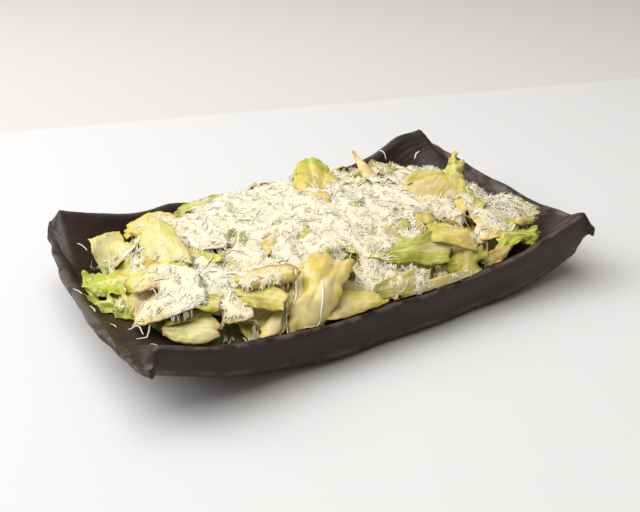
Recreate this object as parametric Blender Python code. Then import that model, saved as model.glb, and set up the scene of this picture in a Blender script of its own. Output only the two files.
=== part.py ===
"""Caesar salad heaped on its long stoneware dish.

Metres, +Z up.  The origin is the middle of the dish's foot on the table, +X runs along the
dish and +Y across it.  Two solids: the dish, and the heap of torn lettuce that lies in it.
"""
import bpy
import bmesh
from math import cos, exp, pi, sin
from mathutils import Vector

# ---- dish: driving dimensions -----------------------------------------------------------------
TIP_X = 0.1550              # corner tips, from the middle
TIP_Y = 0.0940
TIP_Z = 0.0415
TIP_ROUND = 0.0030          # how far the tips are rounded off in plan
RIGHT_REACH = 0.0030        # the right-hand end runs out further
RIGHT_DROP = 0.0030         # and its tips lie lower
SHORT_EDGE_BOW = 0.006      # the short edges belly outward between their tips
SHORT_EDGE_Z = 0.0306       # height of a short edge half way along
LIP = 0.0034                # thickness of the short edges
TIP_THICK = 0.0060          # the corners are thicker
RIM_Z = 0.0293              # long rims, half way along
RIM_CLIMB = 0.0211          # how much higher a long rim is where its wall ends
RIM_INSET = 0.0015          # long rims lie this far inside the line of the tips
RIM_PINCH = 0.0018          # and this much further in where their walls end
WALL_END_X = 0.146          # the walls run out between here and the tips
RIM_WIDTH = 0.0050
FLOOR_Z = 0.0092
FLOOR_HALF_WIDTH = 0.066
FLOOR_BEND_X = 0.074        # beyond this the floor climbs to the short edges
FOOT_HALF_LENGTH = 0.078
FOOT_HALF_WIDTH = 0.056
FLANK_FOOT_Z = 0.0008       # lower edge of the outer flank, half way along
BAND_SHARE = 0.64           # upright part of the outer flank, above its bevel
BEVEL_IN = 0.0048
FAR_RIM_SWELLS = (          # the far rim is uneven: place along X, half width, rise
    (-0.069, 0.017, 0.0040),
    (-0.010, 0.013, 0.0018),
    (0.069, 0.014, -0.0026),
    (0.124, 0.016, 0.0058),
)

# ---- heap: driving dimensions -----------------------------------------------------------------
GAP = 0.0005                # clearance between the heap and the dish
HEAP_HALF_LENGTH = 0.141
HEAP_HALF_WIDTH = 0.088
HEAP_RISE = 0.049           # how far the middle of the heap stands over the floor
HEAP_SQUARE = 2.8           # plan shape: 2 is an ellipse, more is squarer
HEAP_LUMP = 0.0022          # unevenness of its top
LEAF_THICK = 0.0034
CM = 0.01

# Torn leaves that stand out of the heap: name, base, tip (cm), width (cm), arch, cup, point.
# arch bows a leaf along its length, cup turns its sides down, point narrows its tip.
LEAVES = (
    ("ribbed_left", (-11.6, 2.6, 2.2), (-13.1, 5.2, 4.4), 3.2, 0.05, 0.15, 0.1),
    ("left_apex", (-10.8, -0.4, 3.9), (-10.6, 3.2, 6.4), 5.0, 0.08, 0.20, 0.8),
    ("frilly_left", (-11.8, -0.4, 2.8), (-15.0, 2.0, 2.9), 4.2, 0.10, 0.10, 0.3),
    ("cream_left", (-9.8, -3.6, 4.4), (-12.8, 1.4, 3.2), 2.4, 0.10, 0.30, 0.1),
    ("front_cup", (-8.4, -6.2, 3.4), (-12.8, -4.2, 2.2), 3.2, 0.08, -0.15, 0.4),
    ("brown_edge", (-5.0, -5.4, 5.1), (-9.4, -4.0, 4.6), 3.2, 0.06, 0.15, 0.2),
    ("big_front", (-5.6, -7.9, 2.8), (-3.2, -4.8, 5.5), 4.2, 0.16, 0.20, 0.1),
    ("rim_triangle", (-4.2, -6.8, 3.6), (-0.8, -8.6, 3.5), 2.8, 0.05, 0.10, 0.9),
    ("ribbed_front", (2.4, -7.4, 3.2), (-1.4, -7.2, 4.0), 2.6, 0.06, 0.15, 0.2),
    ("green_front", (7.6, -6.0, 4.3), (0.6, -5.6, 4.9), 3.6, 0.08, 0.20, 0.3),
    ("curly_front", (6.6, -6.4, 4.0), (5.3, -8.6, 3.4), 3.2, 0.15, 0.20, 0.2),
    ("brown_right", (10.0, -5.2, 3.8), (8.4, -7.6, 3.0), 2.8, 0.12, 0.20, 0.2),
    ("right_tips", (10.4, -4.2, 3.5), (12.4, -7.2, 3.5), 2.8, 0.10, 0.15, 0.5),
    ("right_shoulder", (9.6, -0.4, 4.5), (14.4, -2.4, 3.6), 6.2, 0.06, 0.15, 0.0),
    ("yellow_top", (6.8, -3.0, 5.0), (9.5, 1.0, 5.6), 4.4, 0.06, 0.10, 0.1),
    ("upright_right", (11.3, 0.6, 3.4), (12.2, 1.6, 6.0), 1.6, 0.02, 0.10, 0.9),
    ("centre_apex", (-0.2, 0.8, 5.4), (1.6, 4.0, 7.0), 3.8, 0.06, 0.20, 0.9),
    ("sliver", (5.6, 1.8, 4.9), (5.2, 4.2, 6.8), 1.5, 0.03, 0.10, 0.9),
    ("far_1", (-8.6, 4.4, 3.7), (-10.6, 7.4, 2.9), 3.8, 0.08, 0.20, 0.3),
    ("far_2", (-4.8, 4.8, 4.2), (-6.6, 8.0, 2.9), 4.4, 0.08, 0.15, 0.2),
    ("far_3", (-1.8, 5.4, 4.1), (-0.8, 8.1, 2.7), 3.8, 0.08, 0.25, 0.5),
    ("far_4", (3.4, 4.6, 4.3), (2.6, 8.2, 2.8), 4.6, 0.08, 0.15, 0.2),
    ("far_5", (7.0, 4.4, 4.1), (8.6, 7.7, 3.0), 4.2, 0.08, 0.20, 0.4),
    ("far_6", (10.2, 3.4, 3.6), (12.8, 5.8, 3.1), 3.8, 0.08, 0.20, 0.3),
)


def smooth(t):
    """Ease from 0 to 1."""
    t = min(max(t, 0.0), 1.0)
    return t * t * (3.0 - 2.0 * t)


def blend(a, b, t):
    return a + (b - a) * t


# ---- the dish's surfaces ----------------------------------------------------------------------
def rim_z(x, side):
    """Height of a long rim's crest; side is +1 for the far one."""
    z = RIM_Z + RIM_CLIMB * min(abs(x) / WALL_END_X, 1.0) ** 3.0
    if side > 0:
        z += sum(rise * exp(-((x - place) / spread) ** 2) for place, spread, rise in FAR_RIM_SWELLS)
    return z


def rim_y(x, side):
    """Half width at the crest of a long rim."""
    inset = RIM_INSET + RIM_PINCH * (x / WALL_END_X) ** 2
    return TIP_Y - inset + 0.0006 * sin(95.0 * x + side)


def floor_z(x):
    climb = max(abs(x) - FLOOR_BEND_X, 0.0) / (TIP_X + SHORT_EDGE_BOW - FLOOR_BEND_X)
    return FLOOR_Z + (SHORT_EDGE_Z - FLOOR_Z) * climb ** 1.6


def flank_foot_z(x):
    """Lower edge of the outer flank; it lifts sooner on the left."""
    if x < 0:
        return FLANK_FOOT_Z + 0.0300 * (-x / 0.147) ** 2.45
    return FLANK_FOOT_Z + 0.0230 * (x / 0.154) ** 5.7


def underside_z(x):
    """Middle line of the underside."""
    if abs(x) < FOOT_HALF_LENGTH:
        return 0.0
    run = (abs(x) - FOOT_HALF_LENGTH) / (TIP_X - FOOT_HALF_LENGTH)
    return (SHORT_EDGE_Z - LIP) * run ** 1.35


def upper_half(x, side):
    """Upper outline of the cross-section, from the middle line out to the rim's outer edge."""
    ry, rz, fz = rim_y(x, side), rim_z(x, side), floor_z(x)
    points = [(FLOOR_HALF_WIDTH * k / 4, fz + 0.0006 * (k / 4) ** 3) for k in range(5)]
    shoulder_y, shoulder_z = ry - RIM_WIDTH * 0.75, rz - 0.0009
    for k in range(1, 5):
        t = k / 4
        y = blend(FLOOR_HALF_WIDTH, shoulder_y, t)
        z = blend(fz + 0.0006, shoulder_z, t ** 1.45)
        points.append((y, z))
    points.append((ry - RIM_WIDTH * 0.40, rz))
    points.append((ry - RIM_WIDTH * 0.12, rz - 0.0007))
    points.append((ry, rz - 0.0024))
    return points


def lower_half(x, side):
    """Lower outline, with as many points: middle line, foot, bevel and upright band."""
    ry, rz, uz = rim_y(x, side), rim_z(x, side), underside_z(x)
    foot = flank_foot_z(x)
    knee = blend(foot, rz, 1.0 - BAND_SHARE)
    points = [(FOOT_HALF_WIDTH * k / 3, uz) for k in range(4)]
    bevel_y = ry - BEVEL_IN
    for k in range(1, 5):
        t = k / 4
        points.append((blend(FOOT_HALF_WIDTH, bevel_y, t), blend(uz, foot, t ** 1.5)))
    points.append((ry - BEVEL_IN * 0.45, blend(foot, knee, 0.55)))
    points.append((ry - 0.0012, knee))
    points.append((ry - 0.0004, blend(knee, rz, 0.35)))
    points.append((ry + 0.0002, blend(knee, rz, 0.70)))
    return points


def edge_wave(y, side):
    """The short edges are torn and wavy: how far out and how far up, along the edge."""
    out = 0.0011 * sin(260.0 * y + 1.1 * side) + 0.0008 * sin(415.0 * y - 0.7 * side)
    up = 0.0008 * sin(300.0 * y + 2.0 * side)
    fade = 1.0 - (abs(y) / TIP_Y) ** 4
    return out * fade, up * fade


def shape_point(x, y_wall, z_wall, share, top, side):
    """Turn a trough section into the thin lip of a short edge over the last stretch.

    share is the point's place between the middle line and the tip, 0 to 1.
    """
    end = 1 if x > 0 else -1
    run = (abs(x) - WALL_END_X) / (TIP_X - WALL_END_X)
    t = smooth(run) if run > 0 else 0.0
    y_lip = TIP_Y * share
    z_lip = SHORT_EDGE_Z + (TIP_Z - SHORT_EDGE_Z) * share ** 2
    if not top:
        z_lip -= LIP + (TIP_THICK - LIP) * share ** 7
    y = blend(y_wall, y_lip, t)
    z = blend(z_wall, z_lip, t)
    reach = max(abs(x) - 0.075, 0.0) / (TIP_X - 0.075)
    out, up = edge_wave(side * y, end)
    bow = SHORT_EDGE_BOW * (1.0 - (y / TIP_Y) ** 2)
    x += end * (bow * reach ** 2 + (out - TIP_ROUND * share ** 16) * reach ** 6)
    z += up * t
    if end > 0:
        x += RIGHT_REACH * reach ** 2
        z -= RIGHT_DROP * reach ** 6 * share ** 6
    return x, side * y, z


UPPER_SHARES = [0.0, 0.18, 0.36, 0.53, 0.68, 0.77, 0.84, 0.90, 0.94, 0.965, 0.985, 1.0]
LOWER_SHARES = [0.0, 0.20, 0.40, 0.58, 0.70, 0.78, 0.85, 0.90, 0.94, 0.965, 0.985, 1.0]


def surface_points(x, side, top):
    """One half of the outline at x, from the middle line outward."""
    half, shares = (upper_half, UPPER_SHARES) if top else (lower_half, LOWER_SHARES)
    return [shape_point(x, y, z, share, top, side) for (y, z), share in zip(half(x, side), shares)]


def section(x):
    """Closed ring of points: upper outline from far to near, then the lower one back."""
    ring = list(reversed(surface_points(x, 1, True))) + surface_points(x, -1, True)[1:]
    return ring + list(reversed(surface_points(x, -1, False))) + surface_points(x, 1, False)[1:]


def stations():
    middle = [WALL_END_X * k / 14 for k in range(-14, 15)]
    ends = [blend(WALL_END_X, TIP_X, k / 5) for k in range(1, 6)]
    return [-x for x in reversed(ends)] + middle + ends


def lip_rounding(ring, end):
    """Pull the last ring in towards its own middle height, a little further out."""
    count = len(ring)
    rounded = []
    for k, (x, y, z) in enumerate(ring):
        mirror = ring[count - 1 - k]
        rounded.append((x + end * LIP * 0.35, y + 0.22 * (mirror[1] - y), z + 0.22 * (mirror[2] - z)))
    return rounded


def skin_rings(bm, rings):
    """Join closed rings with quads and close both ends across their thickness."""
    loops = [[bm.verts.new(point) for point in ring] for ring in rings]
    count = len(rings[0])
    for a, b in zip(loops, loops[1:]):
        for k in range(count):
            j = (k + 1) % count
            bm.faces.new((a[k], a[j], b[j], b[k]))
    for loop, flip in ((loops[0], True), (loops[-1], False)):
        for k in range(count // 2 - 1):
            quad = (loop[k], loop[k + 1], loop[count - 2 - k], loop[count - 1 - k])
            bm.faces.new(tuple(reversed(quad)) if flip else quad)


def new_object(name, bm, material):
    bmesh.ops.recalc_face_normals(bm, faces=bm.faces)
    mesh = bpy.data.meshes.new(name)
    bm.to_mesh(mesh)
    bm.free()
    mesh.materials.append(material)
    obj = bpy.data.objects.new(name, mesh)
    bpy.context.collection.objects.link(obj)
    return obj


def make_material(name, colour, roughness):
    material = bpy.data.materials.new(name)
    material.use_nodes = True
    shader = material.node_tree.nodes["Principled BSDF"]
    shader.inputs["Base Color"].default_value = (*colour, 1.0)
    shader.inputs["Roughness"].default_value = roughness
    shader.inputs["Metallic"].default_value = 0.0
    return material


def make_plate(material):
    rings = [section(x) for x in stations()]
    rings = [lip_rounding(rings[0], -1)] + rings + [lip_rounding(rings[-1], 1)]
    bm = bmesh.new()
    skin_rings(bm, rings)
    plate = new_object("plate", bm, material)
    plate.data.shade_smooth()
    plate.data.set_sharp_from_angle(angle=0.6)
    return plate


# ---- the heap ---------------------------------------------------------------------------------
def heap_surface(turn, reach):
    """Point of the smooth heap: turn round the middle, reach 0 at the top and 1 at the edge."""
    c, d = cos(turn), sin(turn)
    radius = (abs(c) ** HEAP_SQUARE + abs(d) ** HEAP_SQUARE) ** (-1.0 / HEAP_SQUARE)
    x = HEAP_HALF_LENGTH * radius * c * reach
    y = HEAP_HALF_WIDTH * radius * d * reach
    z = floor_z(x) + HEAP_RISE * (1.0 - reach ** 2.4) ** 0.62
    lumps = sin(88.0 * x + 1.0) * sin(118.0 * y + 0.6) + 0.6 * sin(150.0 * x - 95.0 * y)
    z += HEAP_LUMP * lumps * (1.0 - reach ** 3)
    return Vector((x, y, z))


def heap_mound(material):
    """Closed dome that reaches below the dish's floor, to be cut to it."""
    turns, rings = 56, 9
    bm = bmesh.new()
    top = bm.verts.new(heap_surface(0.0, 0.0))
    bottom = bm.verts.new((0.0, 0.0, -0.004))
    loops = []
    for k in range(1, rings + 1):
        reach = (k / rings) ** 0.8
        loops.append([bm.verts.new(heap_surface(2 * pi * n / turns, reach)) for n in range(turns)])
    skirt = [bm.verts.new((v.co.x, v.co.y, -0.004)) for v in loops[-1]]
    loops.append(skirt)
    for n in range(turns):
        m = (n + 1) % turns
        bm.faces.new((top, loops[0][n], loops[0][m]))
        bm.faces.new((bottom, skirt[m], skirt[n]))
        for inner, outer in zip(loops, loops[1:]):
            bm.faces.new((inner[n], outer[n], outer[m], inner[m]))
    return new_object("salad_heap", bm, material)


def leaf_width(u, point):
    """Share of the full width at u along the leaf, 0 at its base and 1 at its tip."""
    rounded = 0.35 + 0.65 * sin(pi * min(max(0.12 + 0.80 * u, 0.0), 1.0)) ** 0.7
    return rounded * (1.0 - 0.85 * point * max(u - 0.25, 0.0) / 0.75)


def leaf_slab(name, base, tip, width, arch, cup, point, material):
    """One thick leaf, bowed along its length and across it."""
    base, tip, width = Vector(base) * CM, Vector(tip) * CM, width * CM
    along = tip - base
    middle = (base + tip) * 0.5
    outward = Vector((middle.x * 0.35, middle.y * 0.6, 0.07))
    length = along.length
    along.normalize()
    normal = (outward - along * outward.dot(along)).normalized()
    across = normal.cross(along)
    rows, columns = 6, 5
    bm = bmesh.new()
    layers = []
    for lift in (LEAF_THICK, -LEAF_THICK):
        layer = []
        for i in range(rows + 1):
            u = i / rows
            half = 0.5 * width * leaf_width(u, point)
            row = []
            for j in range(columns + 1):
                v = 2.0 * j / columns - 1.0
                bow = arch * length * 4.0 * u * (1.0 - u) - cup * half * v * v
                edge = 1.0 - 0.5 * v * v
                row.append(bm.verts.new(base + along * (u * length) + across * (v * half)
                                        + normal * (bow + 0.5 * lift * edge)))
            layer.append(row)
        layers.append(layer)
    upper, lower = layers
    for i in range(rows):
        for j in range(columns):
            bm.faces.new((upper[i][j], upper[i][j + 1], upper[i + 1][j + 1], upper[i + 1][j]))
            bm.faces.new((lower[i][j], lower[i + 1][j], lower[i + 1][j + 1], lower[i][j + 1]))
        for j, k in ((0, 0), (columns, columns)):
            bm.faces.new((upper[i][j], upper[i + 1][k], lower[i + 1][k], lower[i][j]))
    for j in range(columns):
        for i in (0, rows):
            bm.faces.new((upper[i][j], upper[i][j + 1], lower[i][j + 1], lower[i][j]))
    return new_object("leaf_" + name, bm, material)


def dish_hollow_cutter(material):
    """Everything below the dish's upper surface, lifted by the gap."""
    bm = bmesh.new()
    loops = []
    margin, depth = 0.13, -0.02
    for x in stations():
        far, near = (surface_points(x, side, True) for side in (1, -1))
        outline = list(reversed(far)) + near[1:]
        ring = [(px, py, pz + 2.0 * GAP) for px, py, pz in outline]
        first, last = ring[0], ring[-1]
        ring = [(first[0], margin, first[2])] + ring + [(last[0], -margin, last[2])]
        ring += [(last[0], -margin, depth), (first[0], margin, depth)]
        loops.append(ring)
    beyond = TIP_X + 0.03
    loops.insert(0, [(-beyond, y, z) for _, y, z in loops[0]])
    loops.append([(beyond, y, z) for _, y, z in loops[-1]])
    loops = [[bm.verts.new(point) for point in ring] for ring in loops]
    count = len(loops[0])
    for a, b in zip(loops, loops[1:]):
        for k in range(count):
            j = (k + 1) % count
            bm.faces.new((a[k], a[j], b[j], b[k]))
    bm.faces.new(loops[0])
    bm.faces.new(list(reversed(loops[-1])))
    return new_object("dish_hollow_cutter", bm, material)


def apply_boolean(target, tool, operation):
    """Run one boolean on target, take its result as the mesh, and remove the tool."""
    modifier = target.modifiers.new("cut", "BOOLEAN")
    modifier.object = tool
    modifier.operation = operation
    modifier.solver = "EXACT"
    graph = bpy.context.evaluated_depsgraph_get()
    result = bpy.data.meshes.new_from_object(target.evaluated_get(graph))
    target.modifiers.clear()
    target.data = result
    bpy.data.objects.remove(tool, do_unlink=True)


def keep_largest_shell(obj):
    """Drop crumbs and closed-in gaps, so that the heap is one body."""
    bm = bmesh.new()
    bm.from_mesh(obj.data)
    bm.faces.ensure_lookup_table()
    unseen = set(bm.faces)
    shells = []
    while unseen:
        stack = [unseen.pop()]
        shell = list(stack)
        while stack:
            for edge in stack.pop().edges:
                for face in edge.link_faces:
                    if face in unseen:
                        unseen.discard(face)
                        stack.append(face)
                        shell.append(face)
        shells.append(shell)
    shells.sort(key=len)
    for shell in shells[:-1]:
        bmesh.ops.delete(bm, geom=shell, context="FACES")
    loose = [v for v in bm.verts if not v.link_faces]
    bmesh.ops.delete(bm, geom=loose, context="VERTS")
    bmesh.ops.dissolve_degenerate(bm, dist=0.00002, edges=bm.edges)
    bm.to_mesh(obj.data)
    bm.free()


def make_heap(material):
    heap = heap_mound(material)
    for name, base, tip, width, arch, cup, point in LEAVES:
        leaf = leaf_slab(name, base, tip, width, arch, cup, point, material)
        apply_boolean(heap, leaf, "UNION")
    apply_boolean(heap, dish_hollow_cutter(material), "DIFFERENCE")
    keep_largest_shell(heap)
    heap.data.shade_smooth()
    heap.data.set_sharp_from_angle(angle=0.7)
    return heap


def main():
    for obj in list(bpy.data.objects):
        bpy.data.objects.remove(obj, do_unlink=True)
    stoneware = make_material("stoneware_glaze", (0.030, 0.024, 0.022), 0.42)
    lettuce = make_material("lettuce", (0.72, 0.66, 0.33), 0.45)
    make_plate(stoneware)
    make_heap(lettuce)


main()
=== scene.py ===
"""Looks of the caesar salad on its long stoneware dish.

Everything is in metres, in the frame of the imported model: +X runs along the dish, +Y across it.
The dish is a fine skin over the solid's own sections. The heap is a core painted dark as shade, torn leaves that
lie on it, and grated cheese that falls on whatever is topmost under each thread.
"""

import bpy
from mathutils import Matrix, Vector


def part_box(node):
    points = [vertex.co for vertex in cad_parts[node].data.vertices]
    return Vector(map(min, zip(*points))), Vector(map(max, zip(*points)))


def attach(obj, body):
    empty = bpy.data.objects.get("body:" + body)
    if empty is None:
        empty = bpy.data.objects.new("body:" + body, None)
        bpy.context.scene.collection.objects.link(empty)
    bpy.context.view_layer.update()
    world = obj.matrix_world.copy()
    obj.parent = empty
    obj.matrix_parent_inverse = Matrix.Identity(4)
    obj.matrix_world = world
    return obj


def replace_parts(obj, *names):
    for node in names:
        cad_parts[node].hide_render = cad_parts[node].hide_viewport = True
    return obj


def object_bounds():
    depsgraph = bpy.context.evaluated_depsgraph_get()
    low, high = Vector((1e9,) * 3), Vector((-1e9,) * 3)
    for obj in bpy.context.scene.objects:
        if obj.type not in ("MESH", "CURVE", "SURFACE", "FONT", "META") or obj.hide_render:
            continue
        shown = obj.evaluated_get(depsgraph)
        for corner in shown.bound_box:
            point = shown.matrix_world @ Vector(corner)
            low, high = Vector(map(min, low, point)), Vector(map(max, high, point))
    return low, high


bl_info = {
    "name": "Caesar salad on a stoneware dish",
    "version": (1, 0, 0),
    "blender": (4, 5, 0),
    "location": "View3D > Sidebar > Salad",
    "description": "Makes the dish, the torn leaves, the grated cheese and the table they stand on",
    "category": "Add Mesh",
}

from math import atan2, cos, exp, pi, radians, sin
from typing import NamedTuple

import bpy
import numpy as np
from bpy.props import FloatProperty, FloatVectorProperty, IntProperty, PointerProperty
from mathutils import Matrix, Vector
from mathutils.bvhtree import BVHTree

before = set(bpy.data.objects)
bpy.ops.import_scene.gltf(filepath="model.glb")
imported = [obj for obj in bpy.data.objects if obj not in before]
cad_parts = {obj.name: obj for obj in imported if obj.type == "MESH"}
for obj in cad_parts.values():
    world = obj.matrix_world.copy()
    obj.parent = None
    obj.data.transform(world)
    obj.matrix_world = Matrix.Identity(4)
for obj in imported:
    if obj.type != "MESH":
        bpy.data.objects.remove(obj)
CAD_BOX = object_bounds()
PLATE_LOW, PLATE_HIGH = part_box("plate")
HEAP_LOW, HEAP_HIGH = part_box("salad_heap")
BODY = "root"
CM = 0.01
MM = 0.001

# ---- dish: the solid's driving dimensions -----------------------------------------------------
TIP_X = 0.1550
TIP_Y = PLATE_HIGH.y
TIP_Z = 0.0415
TIP_ROUND = 0.0030
RIGHT_REACH = 0.0030
RIGHT_DROP = 0.0030
SHORT_EDGE_BOW = 0.006
SHORT_EDGE_Z = 0.0306
LIP = 0.0034
TIP_THICK = 0.0060
RIM_Z = 0.0293
RIM_CLIMB = 0.0211
RIM_INSET = 0.0015
RIM_PINCH = 0.0018
WALL_END_X = 0.146
RIM_WIDTH = 0.0050
FLOOR_Z = 0.0092
FLOOR_HALF_WIDTH = 0.066
FLOOR_BEND_X = 0.074
FOOT_HALF_LENGTH = 0.078
FOOT_HALF_WIDTH = 0.056
FLANK_FOOT_Z = 0.0008
BAND_SHARE = 0.64
BEVEL_IN = 0.0048
FAR_RIM_SWELLS = (
    (-0.069, 0.017, 0.0040),
    (-0.010, 0.013, 0.0018),
    (0.069, 0.014, -0.0026),
    (0.124, 0.016, 0.0058),
)
UPPER_SHARES = [0.0, 0.18, 0.36, 0.53, 0.68, 0.77, 0.84, 0.90, 0.94, 0.965, 0.985, 1.0]
LOWER_SHARES = [0.0, 0.20, 0.40, 0.58, 0.70, 0.78, 0.85, 0.90, 0.94, 0.965, 0.985, 1.0]

# ---- heap: the solid's driving dimensions -----------------------------------------------------
HEAP_HALF_LENGTH = 0.141
HEAP_HALF_WIDTH = 0.088
HEAP_RISE = 0.049
HEAP_SQUARE = 2.8


# ---- small tools ------------------------------------------------------------------------------
def smooth(t):
    """Ease from 0 to 1; works on arrays."""
    t = np.clip(t, 0.0, 1.0)
    return t * t * (3.0 - 2.0 * t)


def blend(a, b, t):
    return a + (b - a) * t


def ripple(places, wavelength, seed, waves=11):
    """Smooth uneven field of about -1 to 1 over places, whose last axis holds coordinates."""
    rng = np.random.default_rng(seed)
    places = np.asarray(places, float)
    headings = rng.normal(size=(waves, places.shape[-1]))
    headings /= np.linalg.norm(headings, axis=1, keepdims=True)
    lengths = wavelength * rng.uniform(0.7, 1.6, waves)
    phases = rng.uniform(0.0, 2.0 * pi, waves)
    total = np.zeros(places.shape[:-1])
    for heading, length, phase in zip(headings, lengths, phases):
        total += np.sin(places @ heading * (2.0 * pi / length) + phase)
    return total * 0.9 / np.sqrt(waves)


def ripple_line(place, wavelength, seed):
    """The same along one line."""
    return ripple(np.asarray(place)[..., None], wavelength, seed)


def unit(vectors):
    return vectors / np.maximum(np.linalg.norm(vectors, axis=-1, keepdims=True), 1e-12)


def new_piece(name, points, faces, material, attributes=None, smooth_shading=True):
    """One object from arrays of points and of faces with equal corner counts; it rides on the dish."""
    mesh = bpy.data.meshes.new(name)
    corners = [np.asarray(group, np.int32) for group in faces if len(group)]
    sizes = np.concatenate([np.full(len(group), group.shape[1]) for group in corners])
    loops = np.concatenate([group.ravel() for group in corners])
    mesh.vertices.add(len(points))
    mesh.vertices.foreach_set("co", np.asarray(points, np.float32).ravel())
    mesh.loops.add(len(loops))
    mesh.loops.foreach_set("vertex_index", loops)
    mesh.polygons.add(len(sizes))
    mesh.polygons.foreach_set("loop_start", np.concatenate(([0], np.cumsum(sizes)[:-1])).astype(np.int32))
    mesh.update(calc_edges=True)
    for label, values in (attributes or {}).items():
        layer = mesh.attributes.new(label, "FLOAT", "POINT")
        layer.data.foreach_set("value", np.asarray(values, np.float32).ravel())
    mesh.validate()
    if smooth_shading:
        mesh.shade_smooth()
    mesh.materials.append(material)
    old = bpy.data.objects.get(name)
    if old:
        bpy.data.objects.remove(old, do_unlink=True)
    piece = bpy.data.objects.new(name, mesh)
    bpy.context.scene.collection.objects.link(piece)
    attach(piece, BODY)
    return piece


def grid_quads(rows, columns, first=0, flip=False):
    """Corner numbers of the quads between the points of a grid, numbered row by row."""
    start = first + (np.arange(rows - 1)[:, None] * columns + np.arange(columns - 1)[None, :]).ravel()
    quads = np.stack((start, start + 1, start + columns + 1, start + columns), axis=1)
    return quads[:, ::-1] if flip else quads


# ---- what lies topmost ------------------------------------------------------------------------
class TopSurface:
    """Height of whatever lies topmost over each square millimetre, and how much cheese it takes."""

    CELL = 0.001

    def __init__(self):
        low, high = CAD_BOX
        self.x0, self.y0 = low.x - 0.004, low.y - 0.004
        columns = int((high.x + 0.004 - self.x0) / self.CELL) + 1
        rows = int((high.y + 0.004 - self.y0) / self.CELL) + 1
        self.height = np.zeros((columns, rows))
        self.cheese = np.zeros((columns, rows))
        self.bridged = np.zeros((columns, rows), bool)

    def cells(self, x, y):
        i = np.clip(((x - self.x0) / self.CELL).astype(int), 0, self.height.shape[0] - 1)
        j = np.clip(((y - self.y0) / self.CELL).astype(int), 0, self.height.shape[1] - 1)
        return i, j

    def places(self):
        """x and y of the middle of each cell."""
        columns, rows = self.height.shape
        x = self.x0 + (np.arange(columns)[:, None] + 0.5) * self.CELL
        y = self.y0 + (np.arange(rows)[None, :] + 0.5) * self.CELL
        return np.broadcast_arrays(x, y)

    def at(self, x, y):
        return self.height[self.cells(x, y)]

    def lay(self, points, cheese):
        """Raise the surface to points that lie on it."""
        x, y, z = points.reshape(-1, 3).T
        i, j = self.cells(x, y)
        order = np.argsort(z)
        i, j, z, cheese = i[order], j[order], z[order], cheese.ravel()[order]
        above = z > self.height[i, j]
        self.height[i[above], j[above]] = z[above]
        self.cheese[i[above], j[above]] = cheese[above]
        self.bridged[i[above], j[above]] = False

    def lay_grid(self, grid, cheese):
        """Raise the surface to a leaf's grid of points, filled in between them."""
        for s in (0.0, 0.5):
            for t in (0.0, 0.5):
                a = blend(grid[:-1, :-1], grid[1:, :-1], s)
                b = blend(grid[:-1, 1:], grid[1:, 1:], s)
                self.lay(blend(a, b, t), cheese[:-1, :-1])

    def lay_piece(self, piece):
        """Raise the surface to a finished piece, by looking straight down on it."""
        tree = BVHTree.FromObject(piece, bpy.context.evaluated_depsgraph_get())
        down = Vector((0.0, 0.0, -1.0))
        columns, rows = self.height.shape
        for i in range(columns):
            x = self.x0 + (i + 0.5) * self.CELL
            for j in range(rows):
                hit = tree.ray_cast(Vector((x, self.y0 + (j + 0.5) * self.CELL, 0.2)), down)[0]
                if hit and hit.z > self.height[i, j]:
                    self.height[i, j] = hit.z

    def softened(self, passes):
        """The heights, averaged with their neighbours."""
        soft = self.height.copy()
        for _ in range(passes):
            for axis in (0, 1):
                soft = (np.roll(soft, 1, axis) + np.roll(soft, -1, axis) + 2.0 * soft) / 4.0
        return soft


# ---- materials --------------------------------------------------------------------------------
class NodeSheet:
    """Short hand for laying out shader nodes."""

    def __init__(self, tree):
        self.tree = tree

    def add(self, kind, settings=None, **inputs):
        node = self.tree.nodes.new("ShaderNode" + kind)
        for key, value in (settings or {}).items():
            setattr(node, key, value)
        for key, value in inputs.items():
            socket = node.inputs[int(key[1:])] if key[0] == "i" and key[1:].isdigit() else node.inputs[key]
            self.join(value, socket)
        return node

    def join(self, value, socket):
        """Link an output, or set a plain value."""
        if isinstance(value, bpy.types.NodeSocket):
            self.tree.links.new(value, socket)
        elif isinstance(value, tuple) and len(value) == 3 and socket.type == "RGBA":
            socket.default_value = (*value, 1.0)
        else:
            socket.default_value = value

    def math(self, operation, a, b=0.0, clamp=False):
        node = self.add("Math", {"operation": operation, "use_clamp": clamp}, i0=a, i1=b)
        return node.outputs[0]

    def mix(self, share, a, b, how="MIX"):
        node = self.add("Mix", {"data_type": "RGBA", "blend_type": how})
        self.join(share, node.inputs[0])
        self.join(a, node.inputs[6])
        self.join(b, node.inputs[7])
        return node.outputs[2]

    def span(self, value, low, high, out_low=0.0, out_high=1.0):
        """Map low..high to out_low..out_high, clamped and eased."""
        node = self.add("MapRange", {"interpolation_type": "SMOOTHSTEP"})
        self.join(value, node.inputs[0])
        for number, amount in zip((1, 2, 3, 4), (low, high, out_low, out_high)):
            self.join(amount, node.inputs[number])
        return node.outputs[0]

    def attribute(self, name):
        return self.add("Attribute", {"attribute_name": name}).outputs["Fac"]

    def place(self, stretch=(1.0, 1.0, 1.0)):
        """Object coordinates, in metres, stretched."""
        where = self.add("TexCoord").outputs["Object"]
        return self.add("Mapping", None, Vector=where, Scale=stretch).outputs[0]

    def noise(self, where, scale, detail=3.0, roughness=0.55):
        node = self.add("TexNoise", None, Vector=where, Scale=scale, Detail=detail, Roughness=roughness)
        return node.outputs["Fac"]

    def ramp(self, value, stops):
        node = self.add("ValToRGB")
        self.join(value, node.inputs[0])
        elements = node.color_ramp.elements
        while len(elements) < len(stops):
            elements.new(0.5)
        for element, (position, colour) in zip(elements, stops):
            element.position = position
            element.color = (*colour, 1.0)
        return node.outputs[0]


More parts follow.
